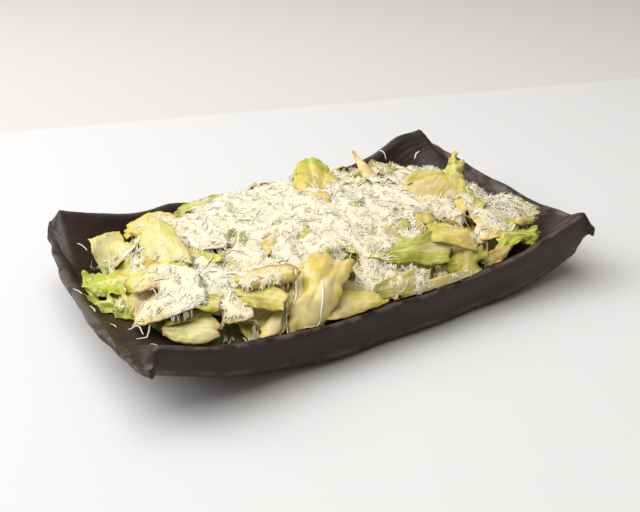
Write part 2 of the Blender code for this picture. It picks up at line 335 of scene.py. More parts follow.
def new_group(name, inputs, outputs):
    """A shader node group with named sockets, and its sheet, input node and output node."""
    old = bpy.data.node_groups.get(name)
    if old:
        return old, None, None, None
    group = bpy.data.node_groups.new(name, "ShaderNodeTree")
    for label, kind, value in inputs:
        socket = group.interface.new_socket(label, in_out="INPUT", socket_type="NodeSocket" + kind)
        socket.default_value = (*value, 1.0) if kind == "Color" else value
    for label, kind in outputs:
        group.interface.new_socket(label, in_out="OUTPUT", socket_type="NodeSocket" + kind)
    sheet = NodeSheet(group)
    return group, sheet, group.nodes.new("NodeGroupInput"), group.nodes.new("NodeGroupOutput")


def grain_group():
    """Fine uneven grain: pits and swellings at two sizes, as a height and a mask."""
    group, sheet, given, out = new_group(
        "Fine grain",
        [("Coarse scale", "Float", 120.0), ("Fine scale", "Float", 900.0), ("Fine share", "Float", 0.5)],
        [("Height", "Float"), ("Mask", "Float")],
    )
    if sheet:
        where = sheet.place()
        coarse = sheet.noise(where, given.outputs["Coarse scale"], 3.0)
        fine = sheet.noise(where, given.outputs["Fine scale"], 2.0)
        height = sheet.math("MULTIPLY_ADD", fine, given.outputs["Fine share"])
        sheet.tree.links.new(coarse, height.node.inputs[2])
        sheet.join(height, out.inputs["Height"])
        sheet.join(sheet.span(coarse, 0.35, 0.68), out.inputs["Mask"])
    return group


def leaf_group():
    """Lettuce tissue: colour from how green, veined and bruised the leaf is, and its fine relief."""
    group, sheet, given, out = new_group(
        "Leaf tissue",
        [
            ("Heart", "Color", (0.74, 0.62, 0.29)),
            ("Yellow", "Color", (0.68, 0.54, 0.09)),
            ("Lime", "Color", (0.43, 0.45, 0.035)),
            ("Green", "Color", (0.16, 0.20, 0.012)),
            ("Vein", "Color", (0.84, 0.76, 0.44)),
            ("Bruise", "Color", (0.48, 0.29, 0.10)),
            ("Dressing", "Color", (0.82, 0.71, 0.42)),
            ("Dressing share", "Float", 0.2),
            ("Crumbs", "Color", (0.96, 0.91, 0.76)),
        ],
        [("Colour", "Color"), ("Roughness", "Float"), ("Height", "Float")],
    )
    if sheet:
        where = sheet.place()
        mottle = sheet.noise(where, 160.0, 4.0, 0.6)
        green = sheet.math("ADD", sheet.attribute("green"), sheet.span(mottle, 0.3, 0.7, -0.10, 0.10))
        pale = sheet.mix(sheet.span(green, 0.02, 0.38), given.outputs["Heart"], given.outputs["Yellow"])
        lime = sheet.mix(sheet.span(green, 0.34, 0.66), pale, given.outputs["Lime"])
        deep = sheet.mix(sheet.span(green, 0.66, 1.05), lime, given.outputs["Green"])
        veined = sheet.mix(sheet.math("MULTIPLY", sheet.attribute("vein"), 0.60), deep, given.outputs["Vein"])
        speck = sheet.noise(where, 420.0, 3.0, 0.7)
        bruise = sheet.math("MULTIPLY", sheet.attribute("bruise"), sheet.span(speck, 0.25, 0.7, 0.55, 1.3), True)
        bruised = sheet.mix(bruise, veined, given.outputs["Bruise"])
        smear = sheet.span(sheet.noise(where, 75.0, 4.0, 0.65), 0.56, 0.74)
        smear = sheet.math("MULTIPLY", smear, given.outputs["Dressing share"])
        dressed = sheet.mix(smear, bruised, given.outputs["Dressing"])
        crumb = sheet.noise(where, 640.0, 3.0, 0.7)
        dusting = sheet.math("MULTIPLY_ADD", sheet.attribute("dust"), 0.42)
        sheet.tree.links.new(crumb, dusting.node.inputs[2])
        dusted = sheet.span(dusting, 0.80, 1.00)
        sheet.join(sheet.mix(dusted, dressed, given.outputs["Crumbs"]), out.inputs["Colour"])
        rough = sheet.span(mottle, 0.3, 0.7, 0.30, 0.50)
        sheet.join(sheet.math("ADD", rough, sheet.math("MULTIPLY", dusted, 0.2)), out.inputs["Roughness"])
        height = sheet.math("MULTIPLY_ADD", sheet.math("MULTIPLY", dusted, crumb), 2.0)
        sheet.tree.links.new(mottle, height.node.inputs[2])
        sheet.join(height, out.inputs["Height"])
    return group


def new_material(name):
    """A material with a bare Principled shader, replacing any of the same name."""
    old = bpy.data.materials.get(name)
    if old:
        bpy.data.materials.remove(old)
    material = bpy.data.materials.new(name)
    material.use_nodes = True
    return material, NodeSheet(material.node_tree), material.node_tree.nodes["Principled BSDF"]


def use_group(sheet, group, **values):
    node = sheet.add("Group", {"node_tree": group})
    for label, value in values.items():
        sheet.join(value, node.inputs[label.replace("_", " ")])
    return node


def add_bump(sheet, shader, height, distance, strength=1.0):
    bump = sheet.add("Bump", None, Height=height, Distance=distance, Strength=strength)
    sheet.join(bump.outputs[0], shader.inputs["Normal"])


def glaze_material(settings):
    """Dark brown-black stoneware with a dull gloss, worn paler on its edges, with a highlight painted along the same
    edges.
    """
    material, sheet, shader = new_material("stoneware_glaze")
    where = sheet.place()
    drift = sheet.noise(where, 22.0, 3.0)
    grain = use_group(sheet, grain_group(), Coarse_scale=210.0, Fine_scale=900.0, Fine_share=0.35)
    base = sheet.mix(sheet.span(drift, 0.35, 0.7), tuple(settings.glaze), tuple(settings.glaze_warm))
    streak = sheet.noise(sheet.place((30.0, 520.0, 200.0)), 1.0, 4.0, 0.6)
    base = sheet.mix(sheet.span(streak, 0.52, 0.80, 0.0, 0.45), base, tuple(settings.glaze_pale))
    # Pale edge lines: glaze worn off the rim crests, the band's lower line and the thin ends, and a painted highlight
    # along them.
    edge = sheet.math("MULTIPLY", sheet.attribute("edge"), sheet.span(sheet.noise(where, 90.0, 4.0), 0.35, 0.62))
    base = sheet.mix(sheet.math("MULTIPLY", edge, 0.75), base, tuple(settings.worn_edge_and_highlight))
    # Pale specks: partly the glaze's own specks, and partly painted glints.
    fleck = sheet.add("TexVoronoi", {"feature": "F1"}, Vector=where, Scale=230.0)
    speck = sheet.span(fleck.outputs["Distance"], 0.05, 0.16, 1.0, 0.0)
    chance = sheet.span(sheet.noise(where, 55.0, 2.0), 0.56, 0.66, 0.0, 0.5)
    base = sheet.mix(sheet.math("MULTIPLY", speck, chance), base, (0.21, 0.18, 0.16))
    sheet.join(base, shader.inputs["Base Color"])
    sheet.join(sheet.span(streak, 0.3, 0.8, 0.30, 0.50), shader.inputs["Roughness"])
    shader.inputs["Specular IOR Level"].default_value = 0.24
    add_bump(sheet, shader, grain.outputs["Height"], 0.00022, 0.5)
    return material


def leaf_material(name, settings, dressing, gloss=0.45, **colours):
    """One kind of lettuce; colours given here stand in for the group's own."""
    material, sheet, shader = new_material(name)
    tissue = use_group(sheet, leaf_group(), Dressing_share=dressing, **colours)
    sheet.join(tissue.outputs["Colour"], shader.inputs["Base Color"])
    sheet.join(tissue.outputs["Roughness"], shader.inputs["Roughness"])
    shader.inputs["Specular IOR Level"].default_value = gloss
    shader.inputs["Subsurface Weight"].default_value = settings.translucency
    shader.inputs["Subsurface Radius"].default_value = (1.0, 0.85, 0.25)
    shader.inputs["Subsurface Scale"].default_value = 0.0006
    add_bump(sheet, shader, tissue.outputs["Height"], 0.0003, 0.6)
    return material


def bed_material():
    """Leaves deep in the heap, painted dark green to near black: painted shade for the gaps between the leaves above.
    """
    material, sheet, shader = new_material("painted_shade_leaves")
    where = sheet.place()
    patch = sheet.noise(where, 90.0, 4.0, 0.6)
    colour = sheet.ramp(
        patch,
        ((0.30, (0.020, 0.026, 0.006)), (0.48, (0.10, 0.13, 0.02)), (0.60, (0.26, 0.27, 0.06)),
         (0.75, (0.42, 0.37, 0.16))),
    )
    grain = use_group(sheet, grain_group(), Coarse_scale=260.0, Fine_scale=900.0, Fine_share=0.4)
    sheet.join(colour, shader.inputs["Base Color"])
    sheet.join(sheet.span(patch, 0.3, 0.7, 0.35, 0.6), shader.inputs["Roughness"])
    add_bump(sheet, shader, grain.outputs["Height"], 0.0008)
    return material


def cheese_material(settings):
    """Finely grated hard cheese: warm white and matt. Its threads pass light on to their shaded sides,
    so all of them are shaded much as if they faced up."""
    material, sheet, shader = new_material("grated_cheese")
    # Tone: random cream on the threads; on the mass under them it is painted shade as well.
    tone = sheet.attribute("tone")
    colour = sheet.mix(tone, tuple(settings.cheese), tuple(settings.cheese_cream_and_shade))
    grain = use_group(sheet, grain_group(), Coarse_scale=240.0, Fine_scale=700.0, Fine_share=0.3)
    sheet.join(colour, shader.inputs["Base Color"])
    sheet.join(sheet.span(grain.outputs["Mask"], 0.0, 1.0, 0.52, 0.68), shader.inputs["Roughness"])
    shader.inputs["Specular IOR Level"].default_value = 0.3
    facing = sheet.add("NewGeometry").outputs["Normal"]
    upward = sheet.span(sheet.add("SeparateXYZ", None, Vector=facing).outputs["Z"], -0.1, 0.3)
    lifted = sheet.add("CombineXYZ", None, Z=upward)
    scaled = sheet.add("VectorMath", {"operation": "MULTIPLY_ADD"}, i0=facing, i1=(0.4, 0.4, 0.4), i2=lifted.outputs[0])
    level = sheet.add("VectorMath", {"operation": "NORMALIZE"}, i0=scaled.outputs[0])
    sheet.join(level.outputs[0], shader.inputs["Normal"])
    return material


def fleck_material():
    """Ground pepper and dark specks."""
    material, sheet, shader = new_material("pepper")
    tint = sheet.noise(sheet.place(), 900.0, 2.0)
    colour = sheet.mix(sheet.span(tint, 0.35, 0.7), (0.030, 0.018, 0.008), (0.16, 0.09, 0.035))
    sheet.join(colour, shader.inputs["Base Color"])
    shader.inputs["Roughness"].default_value = 0.7
    return material


# ---- the dish ---------------------------------------------------------------------------------
def rim_z(x, side):
    """Height of a long rim's crest; side is +1 for the far one."""
    z = RIM_Z + RIM_CLIMB * min(abs(x) / WALL_END_X, 1.0) ** 3.0
    if side > 0:
        z += sum(rise * exp(-((x - place) / spread) ** 2) for place, spread, rise in FAR_RIM_SWELLS)
    return z


def rim_y(x, side):
    """Half width at the crest of a long rim."""
    inset = RIM_INSET + RIM_PINCH * (x / WALL_END_X) ** 2
    return TIP_Y - inset + 0.0006 * sin(95.0 * x + side)


def floor_z(x):
    climb = max(abs(x) - FLOOR_BEND_X, 0.0) / (TIP_X + SHORT_EDGE_BOW - FLOOR_BEND_X)
    return FLOOR_Z + (SHORT_EDGE_Z - FLOOR_Z) * climb ** 1.6


def flank_foot_z(x):
    """Lower edge of the outer flank; it lifts sooner on the left."""
    if x < 0:
        return FLANK_FOOT_Z + 0.0300 * (-x / 0.147) ** 2.45
    return FLANK_FOOT_Z + 0.0230 * (x / 0.154) ** 5.7


def underside_z(x):
    """Middle line of the underside."""
    if abs(x) < FOOT_HALF_LENGTH:
        return 0.0
    run = (abs(x) - FOOT_HALF_LENGTH) / (TIP_X - FOOT_HALF_LENGTH)
    return (SHORT_EDGE_Z - LIP) * run ** 1.35


def upper_half(x, side):
    """Upper outline of the cross-section, from the middle line out to the rim's outer edge."""
    ry, rz, fz = rim_y(x, side), rim_z(x, side), floor_z(x)
    corner = float(smooth((abs(x) - 0.108) / 0.036))
    floor_half, climb = blend(FLOOR_HALF_WIDTH, 0.044, corner), blend(1.45, 1.12, corner)
    points = [(floor_half * k / 4, fz + 0.0006 * (k / 4) ** 3) for k in range(5)]
    shoulder_y, shoulder_z = ry - RIM_WIDTH * 0.75, rz - 0.0009
    for k in range(1, 5):
        t = k / 4
        points.append((blend(floor_half, shoulder_y, t), blend(fz + 0.0006, shoulder_z, t ** climb)))
    return points + [(ry - RIM_WIDTH * 0.40, rz), (ry - RIM_WIDTH * 0.12, rz - 0.0007), (ry, rz - 0.0024)]


def lower_half(x, side):
    """Lower outline, with as many points: middle line, foot, bevel and upright band."""
    ry, rz, uz = rim_y(x, side), rim_z(x, side), underside_z(x)
    foot = flank_foot_z(x)
    knee = blend(foot, rz, 1.0 - BAND_SHARE)
    points = [(FOOT_HALF_WIDTH * k / 3, uz) for k in range(4)]
    for k in range(1, 5):
        t = k / 4
        points.append((blend(FOOT_HALF_WIDTH, ry - BEVEL_IN, t), blend(uz, foot, t ** 1.5)))
    points += [(ry - BEVEL_IN * 0.45, blend(foot, knee, 0.55)), (ry - 0.0012, knee)]
    return points + [(ry - 0.0004, blend(knee, rz, 0.35)), (ry + 0.0002, blend(knee, rz, 0.70))]


def edge_wave(y, side):
    """The short edges are torn and wavy: how far out and how far up, along the edge."""
    out = 0.0011 * sin(260.0 * y + 1.1 * side) + 0.0008 * sin(415.0 * y - 0.7 * side)
    up = 0.0008 * sin(300.0 * y + 2.0 * side)
    fade = 1.0 - (abs(y) / TIP_Y) ** 4
    return out * fade, up * fade


def shape_point(x, y_wall, z_wall, share, top, side):
    """Turn a trough section into the thin lip of a short edge over the last stretch."""
    end = 1 if x > 0 else -1
    t = float(smooth((abs(x) - WALL_END_X) / (TIP_X - WALL_END_X)))
    z_lip = SHORT_EDGE_Z + (TIP_Z - SHORT_EDGE_Z) * share ** 2
    if not top:
        z_lip -= LIP + (TIP_THICK - LIP) * share ** 7
    y = blend(y_wall, TIP_Y * share, t)
    z = blend(z_wall, z_lip, t)
    reach = max(abs(x) - 0.075, 0.0) / (TIP_X - 0.075)
    out, up = edge_wave(side * y, end)
    bow = SHORT_EDGE_BOW * (1.0 - (y / TIP_Y) ** 2)
    x += end * (bow * reach ** 2 + (out - TIP_ROUND * share ** 16) * reach ** 6)
    z += up * t
    if end > 0:
        x += RIGHT_REACH * reach ** 2
        z -= RIGHT_DROP * reach ** 6 * share ** 6
    return x, side * y, z


def outline_half(x, side, top):
    half, shares = (upper_half, UPPER_SHARES) if top else (lower_half, LOWER_SHARES)
    return [shape_point(x, y, z, share, top, side) for (y, z), share in zip(half(x, side), shares)]


def dish_section(x):
    """Closed ring of control points: upper outline from far to near, then the lower one back."""
    ring = outline_half(x, 1, True)[::-1] + outline_half(x, -1, True)[1:]
    return ring + outline_half(x, -1, False)[::-1] + outline_half(x, 1, False)[1:]


def rounded_end(ring, end, angle):
    """The last ring, pulled in towards its middle height on the way round the lip's nose."""
    ring = np.array(ring)
    pull = 0.42 * (1.0 - cos(angle))
    ring[:, 1:] += pull * (ring[::-1, 1:] - ring[:, 1:])
    ring[:, 0] += end * LIP * 0.35 * sin(angle)
    return ring


def fine_rings(rings, counts):
    """Smooth closed curves through each ring's points, with counts points to each interval."""
    ahead = np.roll(rings, -1, axis=1)
    gap = np.linalg.norm(ahead - rings, axis=2, keepdims=True) + 1e-9
    slope = (ahead - rings) / gap
    gap_before, slope_before = np.roll(gap, 1, axis=1), np.roll(slope, 1, axis=1)
    tangent = (slope * gap_before + slope_before * gap) / (gap + gap_before)
    tangent_ahead = np.roll(tangent, -1, axis=1)
    straight = (rings.shape[1] // 2 - 1, rings.shape[1] - 1)
    out = []
    for k, count in enumerate(counts):
        t = (np.arange(count) / count)[None, :, None]
        a, b = rings[:, k:k + 1], ahead[:, k:k + 1]
        ta, tb, g = tangent[:, k:k + 1], tangent_ahead[:, k:k + 1], gap[:, k:k + 1]
        if k in straight:
            ta = tb = slope[:, k:k + 1]
        out.append((1 + 2 * t) * (1 - t) ** 2 * a + t * (1 - t) ** 2 * g * ta
                   + t * t * (3 - 2 * t) * b + t * t * (t - 1) * g * tb)
    return np.concatenate(out, axis=1)


def dish_relief(points, inside, settings):
    """Height of the clay's own unevenness: combing along the dish, hand marks and pitted flanks."""
    flat = points[..., :2]
    wander = 0.0009 * ripple(flat * (0.35, 1.0), 0.030, 11)
    comb = np.sin((points[..., 1] + wander) * (2.0 * pi / settings.comb_spacing))
    patchy = 0.35 + 0.65 * smooth(0.5 + 0.8 * ripple(flat, 0.045, 12))
    patchy = patchy * (0.25 + 0.75 * smooth((points[..., 0] + 0.05) / 0.12))
    hand = ripple(flat, 0.032, 13) * 0.00035 + ripple(flat, 0.013, 14) * 0.00014
    combed = settings.comb_depth * comb * patchy + hand
    pitted = 0.00010 * ripple(points, 0.0042, 15) + 0.00020 * ripple(points * (0.3, 1.0, 1.6), 0.012, 16)
    return inside * combed + (1.0 - inside) * pitted


def make_dish(settings):
    end_steps = [k / 9 for k in range(1, 10)]
    middle = np.linspace(-WALL_END_X, WALL_END_X, 112)
    right = [blend(WALL_END_X, TIP_X, t) for t in end_steps]
    places = [-x for x in reversed(right)] + list(middle) + right
    rings = [np.array(dish_section(x)) for x in places]
    nose = [radians(a) for a in (25.0, 50.0, 72.0, 88.0)]
    rings = ([rounded_end(rings[0], -1, a) for a in reversed(nose)] + rings
             + [rounded_end(rings[-1], 1, a) for a in nose])
    rings = np.array(rings)
    half_count = rings.shape[1] // 2
    span = np.linalg.norm(np.roll(rings, -1, axis=1) - rings, axis=2)[len(rings) // 2]
    steps = np.where(np.arange(len(span)) < half_count, settings.skin_step, 0.0022)
    counts = np.maximum(np.ceil(span / steps).astype(int), 2)
    points = fine_rings(rings, counts)
    upper_count = int(counts[:half_count].sum())
    ring_index = np.arange(points.shape[1])
    rim_fade = smooth(np.minimum(ring_index, upper_count - ring_index) / 9.0)
    inside = np.broadcast_to(np.where(ring_index < upper_count, rim_fade, 0.0), points.shape[:2])
    along = np.gradient(points, axis=0)
    around = np.roll(points, -1, axis=1) - np.roll(points, 1, axis=1)
    normals = unit(np.cross(along, around))
    end_fade = smooth((TIP_X + 0.004 - np.abs(points[..., 0])) / 0.004)
    lift = dish_relief(points, inside, settings)
    underside = (points[..., 2] < 0.0006) & (inside < 0.5)
    lift = np.where(underside, 0.0, lift * (0.3 + 0.7 * end_fade))
    points = points + normals * lift[..., None]
    points[..., 2] = np.maximum(points[..., 2], 0.0)
    # Edge mask on the rim crests, the line where band meets bevel, and the thin ends: worn glaze and a painted
    # highlight.
    rim_crests = [int(counts[:2].sum()), upper_count - int(counts[half_count - 2:half_count].sum())]
    knees = [upper_count + int(counts[half_count:half_count + 3].sum())]
    knees.append(points.shape[1] - int(counts[-3:].sum()))
    edge = sum(np.exp(-((ring_index - k) / 1.8) ** 2) for k in rim_crests)
    edge = edge + 0.6 * sum(np.exp(-((ring_index - k) / 1.2) ** 2) for k in knees)
    edge = np.broadcast_to(edge, points.shape[:2]).copy()
    edge += 0.9 * (1.0 - end_fade) * (inside > 0.0)
    rows, columns = points.shape[:2]
    quads = grid_quads(rows, columns)
    start = np.arange(rows - 1) * columns
    seam = np.stack((start + columns - 1, start, start + columns, start + 2 * columns - 1), axis=1)
    caps = [np.arange(columns)[None, ::-1], ((rows - 1) * columns + np.arange(columns))[None, :]]
    flat = points.reshape(-1, 3)
    dish = new_piece(
        "stoneware_dish", flat, [quads, seam] + caps, glaze_material(settings),
        {"edge": np.clip(edge, 0.0, 1.0)},
    )
    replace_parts(dish, "plate")
    return dish


# ---- the heap's core --------------------------------------------------------------------------
def mound_height(x, y, drop=0.0):
    """Top of the smooth heap at a place inside its outline, lowered by drop."""
    reach = ((np.abs(x) / HEAP_HALF_LENGTH) ** HEAP_SQUARE
             + (np.abs(y) / HEAP_HALF_WIDTH) ** HEAP_SQUARE) ** (1.0 / HEAP_SQUARE)
    reach = np.clip(reach, 0.0, 1.0)
    floor = np.vectorize(floor_z)(x)
    rise = np.maximum(HEAP_RISE - drop, 0.0)
    return floor + rise * (1.0 - reach ** 2.4) ** 0.62


def make_bed(settings):
    """A lumpy core that fills the dish below the leaves; its dark colour is painted shade."""
    turns, rings = 150, 34
    turn = np.linspace(0.0, 2.0 * pi, turns, endpoint=False)[None, :]
    reach = (np.arange(1, rings + 1) / rings)[:, None] ** 0.85
    radius = (np.abs(np.cos(turn)) ** HEAP_SQUARE + np.abs(np.sin(turn)) ** HEAP_SQUARE) ** (-1.0 / HEAP_SQUARE)
    x = HEAP_HALF_LENGTH * radius * np.cos(turn) * reach * settings.core_share
    y = HEAP_HALF_WIDTH * radius * np.sin(turn) * reach * settings.core_share
    floor = np.vectorize(floor_z)(x)
    wall = 0.016 * smooth((np.abs(y) - 0.060) / 0.026)
    rise = (HEAP_RISE - settings.core_depth) * (1.0 - reach ** 2.4) ** 0.62
    flat = np.stack((x, y), axis=-1)
    lumps = 0.0032 * ripple(flat, 0.020, 21) + 0.0015 * ripple(flat, 0.008, 22)
    z = np.maximum(floor + rise + lumps * (1.0 - reach ** 4), floor + wall + 0.0006)
    top = np.stack((x, y, z), axis=-1)
    under = np.stack((x, y, floor + wall + 0.0004), axis=-1)
    points = np.concatenate((top.reshape(-1, 3), under.reshape(-1, 3), [[0, 0, HEAP_RISE - settings.core_depth
                                                                         + FLOOR_Z], [0, 0, FLOOR_Z + 0.0004]]))
    quads = []
    for first, flip in ((0, False), (rings * turns, True)):
        body = grid_quads(rings, turns, first, flip)
        start = first + np.arange(rings - 1) * turns
        seam = np.stack((start + turns - 1, start, start + turns, start + 2 * turns - 1), axis=1)
        quads += [body, seam[:, ::-1] if flip else seam]
    edge = (rings - 1) * turns + np.arange(turns)
    below = edge + rings * turns
    quads.append(np.stack((edge, np.roll(edge, -1), np.roll(below, -1), below), axis=1))
    fans = []
    for centre, first, flip in ((len(points) - 2, 0, True), (len(points) - 1, rings * turns, False)):
        ring = first + np.arange(turns)
        fan = np.stack((np.full(turns, centre), np.roll(ring, -1), ring), axis=1)
        fans.append(fan[:, ::-1] if flip else fan)
    bed = new_piece("salad_bed", points, quads + fans, bed_material())
    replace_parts(bed, "salad_heap")
    return bed


# ---- leaves -----------------------------------------------------------------------------------
class Leaf(NamedTuple):
    """One torn leaf: its corners in cm, then how it bends, grows and is dressed."""

    corners: tuple          # left and right at its base, then right and left at its tip
    arch: float = 0.06      # bow along its length
    cup: float = 0.12       # how far its sides turn down
    curl: float = 0.0       # how far its tip turns down
    green: float = 0.30
    bruise: float = 0.25
    cheese: float = 0.35    # at its base; less at its tip
    bare: float = 0.75      # how much of its cheese is missing at its tip
    flush: bool = False     # pressed down level with what lies below it
    blunt: float = 0.28     # how much narrower its very ends are


class Tissue(NamedTuple):
    """How one kind of leaf is built; sizes in metres."""

    vein_gap: float
    vein_rise: float
    midrib: float
    puff: float
    puff_size: float
    ruffle: float
    ruffle_size: float
    tear: float
    crease: float
    thickness: float


KINDS = {
    "heart_leaves": Tissue(0.0042, 0.00010, 0.0001, 0.0003, 0.014, 0.0010, 0.026, 0.035, 0.0006, 0.0005),
    "ribbed_leaves": Tissue(0.0026, 0.00030, 0.0001, 0.0001, 0.012, 0.0006, 0.026, 0.03, 0.0004, 0.0005),
    "green_leaves": Tissue(0.0034, 0.00028, 0.0003, 0.0004, 0.010, 0.0016, 0.020, 0.05, 0.0010, 0.0005),
    "frilly_leaves": Tissue(0.0060, 0.00012, 0.0005, 0.0010, 0.008, 0.0028, 0.013, 0.10, 0.0012, 0.0004),
}


def square_corners(base, tip, width, lean=0.0, base_share=0.8, tip_share=0.9, twist=0.0):
    """Corners in metres of a leaf from end to end, leaning by an angle about its length."""
    along = unit(tip - base)
    middle = (base + tip) / 2.0
    outward = np.array((middle[0] * 0.35, middle[1] * 0.6, 0.07))
    normal = unit(outward - along * (outward @ along))
    across = np.cross(normal, along)
    ends = []
    for end, share, turn in ((base, base_share, lean), (tip, tip_share, lean + twist)):
        side = (across * cos(turn) + normal * sin(turn)) * width / 2.0 * share
        ends.append((end - side, end + side))
    return np.array((*ends[0], ends[1][1], ends[1][0]))


def spread_between(corners, u, v):
    """Points between four corners; u runs from base to tip, v from side to side as -1 to 1."""
    u, t = u[..., None], (v[..., None] + 1.0) / 2.0
    return blend(blend(corners[0], corners[1], t), blend(corners[3], corners[2], t), u)


def grow_leaf(leaf, tissue, seed, cell):
    """Grids of points on both faces of a leaf, and the values its material reads."""
    corners = np.array(leaf.corners) * CM
    length = (np.linalg.norm(corners[3] - corners[0]) + np.linalg.norm(corners[2] - corners[1])) / 2.0
    widths = np.linalg.norm(corners[1] - corners[0]), np.linalg.norm(corners[2] - corners[3])
    rows, columns = max(8, round(length * 1.1 / cell)), max(6, round(max(widths) * 1.1 / cell))
    u = np.linspace(0.0, 1.0, rows + 1)[:, None] + np.zeros((1, columns + 1))
    v = np.linspace(-1.0, 1.0, columns + 1)[None, :] + np.zeros((rows + 1, 1))
    a, half = u * length, 0.5 * blend(*widths, u)
    b = v * half
    flat = np.stack((a, b), axis=-1)

    ragged = sum(amount * np.where(v > 0, ripple_line(a, size, seed + 1), ripple_line(a, size, seed + 2))
                 for amount, size in ((2.4, 0.030), (1.2, 0.010), (0.5, 0.0035)))
    torn = sum(amount * np.where(u > 0.5, ripple_line(b, size, seed + 8), ripple_line(b, size, seed + 9))
               for amount, size in ((1.3, 0.020), (0.4, 0.007)))
    blunt = leaf.blunt * smooth((np.abs(2.0 * u - 1.0) - 0.35) / 0.65) ** 2
    v_torn = v * (1.0 + tissue.tear * ragged - blunt)
    u_torn = u + tissue.tear * torn * (2.0 * u - 1.0) ** 2
    sheet = spread_between(corners, u_torn, v_torn)
    normal = unit(np.cross(corners[2] - corners[0], corners[3] - corners[1]))
    normal *= np.sign(normal @ np.append(sheet.mean(axis=(0, 1))[:2] * (0.35, 0.6), 0.07))
    bow = 4.0 * u * (1.0 - u) * leaf.arch * length - half * leaf.cup * (v ** 2 - 0.3)
    bow -= leaf.curl * length * smooth((u - 0.55) / 0.45) ** 2
    sheet = sheet + normal * bow[..., None]

    lines = v * max(widths) / 2.0 / tissue.vein_gap + 0.22 * ripple(flat, 0.020, seed + 3)
    lines = np.maximum(np.cos(2.0 * pi * lines), 0.0) ** 5
    midrib = np.exp(-(b / (0.0026 * (1.25 - u))) ** 2) * smooth((1.1 - u) / 0.5)
    cells = np.abs(ripple(flat, tissue.puff_size, seed + 4))
    net = np.exp(-(cells / 0.11) ** 2)
    fringe = np.abs(v) ** 2.4 + 0.5 * smooth((u - 0.75) / 0.25)
    waves = sum(amount * np.where(v > 0, ripple_line(a + 0.3 * b, size, seed + 5),
                                  ripple_line(a - 0.3 * b, size, seed + 6))
                for amount, size in ((1.0, tissue.ruffle_size), (0.45, tissue.ruffle_size * 0.45)))
    creases = np.abs(ripple(flat * (0.30, 1.0), 0.015, seed + 14))
    relief = (tissue.ruffle * fringe * waves + tissue.puff * (cells - 0.4) + tissue.vein_rise * lines
              + tissue.midrib * midrib + 0.0007 * ripple(flat, 0.030, seed + 7) + tissue.crease * (creases - 0.5))

    face = unit(np.cross(np.gradient(sheet, axis=0), np.gradient(sheet, axis=1)))
    face *= np.sign((face * normal).sum(axis=-1).mean())
    sheet = sheet + face * relief[..., None]
    thick = tissue.thickness * (1.0 - 0.45 * np.abs(v) ** 6) + 0.8 * midrib * tissue.midrib
    upper, lower = sheet + face * thick[..., None] / 2.0, sheet - face * thick[..., None] / 2.0

    inset = np.minimum(np.minimum((1.0 - np.abs(v)) * half, a), length - a)
    green = (leaf.green + 0.25 * (u - 0.45) + 0.12 * v ** 2 + 0.13 * ripple(flat, 0.020, seed + 10)
             + 0.08 * ripple(flat, 0.006, seed + 11) - 0.25 * midrib * leaf.green)
    vein = np.clip(0.40 * midrib + 0.50 * lines + 0.25 * net, 0.0, 1.0)
    blotch = smooth((ripple(flat, 0.016, seed + 12) - 0.45) / 0.5)
    bruise = leaf.bruise * (1.3 * np.exp(-inset / 0.0014) * smooth(0.5 + ripple(flat, 0.012, seed + 13)) + 0.55 * blotch)
    cheese = leaf.cheese * (1.0 - leaf.bare * smooth(u))
    shade = dict(green=green, vein=vein, bruise=np.clip(bruise, 0.0, 1.0),
                 dust=cheese * drift_amount(sheet[..., 0], sheet[..., 1]))
    return upper, lower, shade, cheese


class LeafPile:
    """Leaves of one kind, gathered into one mesh."""

    def __init__(self):
        self.points, self.quads, self.values = [], [], []
        self.count = 0

    def add(self, upper, lower, shade):
        rows, columns = upper.shape[:2]
        size = rows * columns
        first, second = self.count, self.count + size
        self.points += [upper.reshape(-1, 3), lower.reshape(-1, 3)]
        self.quads += [grid_quads(rows, columns, first), grid_quads(rows, columns, second, True)]
        index = np.arange(size).reshape(rows, columns)
        rim = np.concatenate((index[0, :], index[1:, -1], index[-1, -2::-1], index[-2:0:-1, 0]))
        ahead = np.roll(rim, -1)
        self.quads.append(np.stack((first + rim, second + rim, second + ahead, first + ahead), axis=1))
        values = np.stack([value.ravel() for value in shade.values()])
        self.values.append(np.concatenate((values, values), axis=1))
        self.count += 2 * size

    def piece(self, name, material):
        values = np.concatenate(self.values, axis=1)
        labels = dict(zip(("green", "vein", "bruise", "dust"), values))
        return new_piece(name, np.concatenate(self.points), self.quads, material, labels)


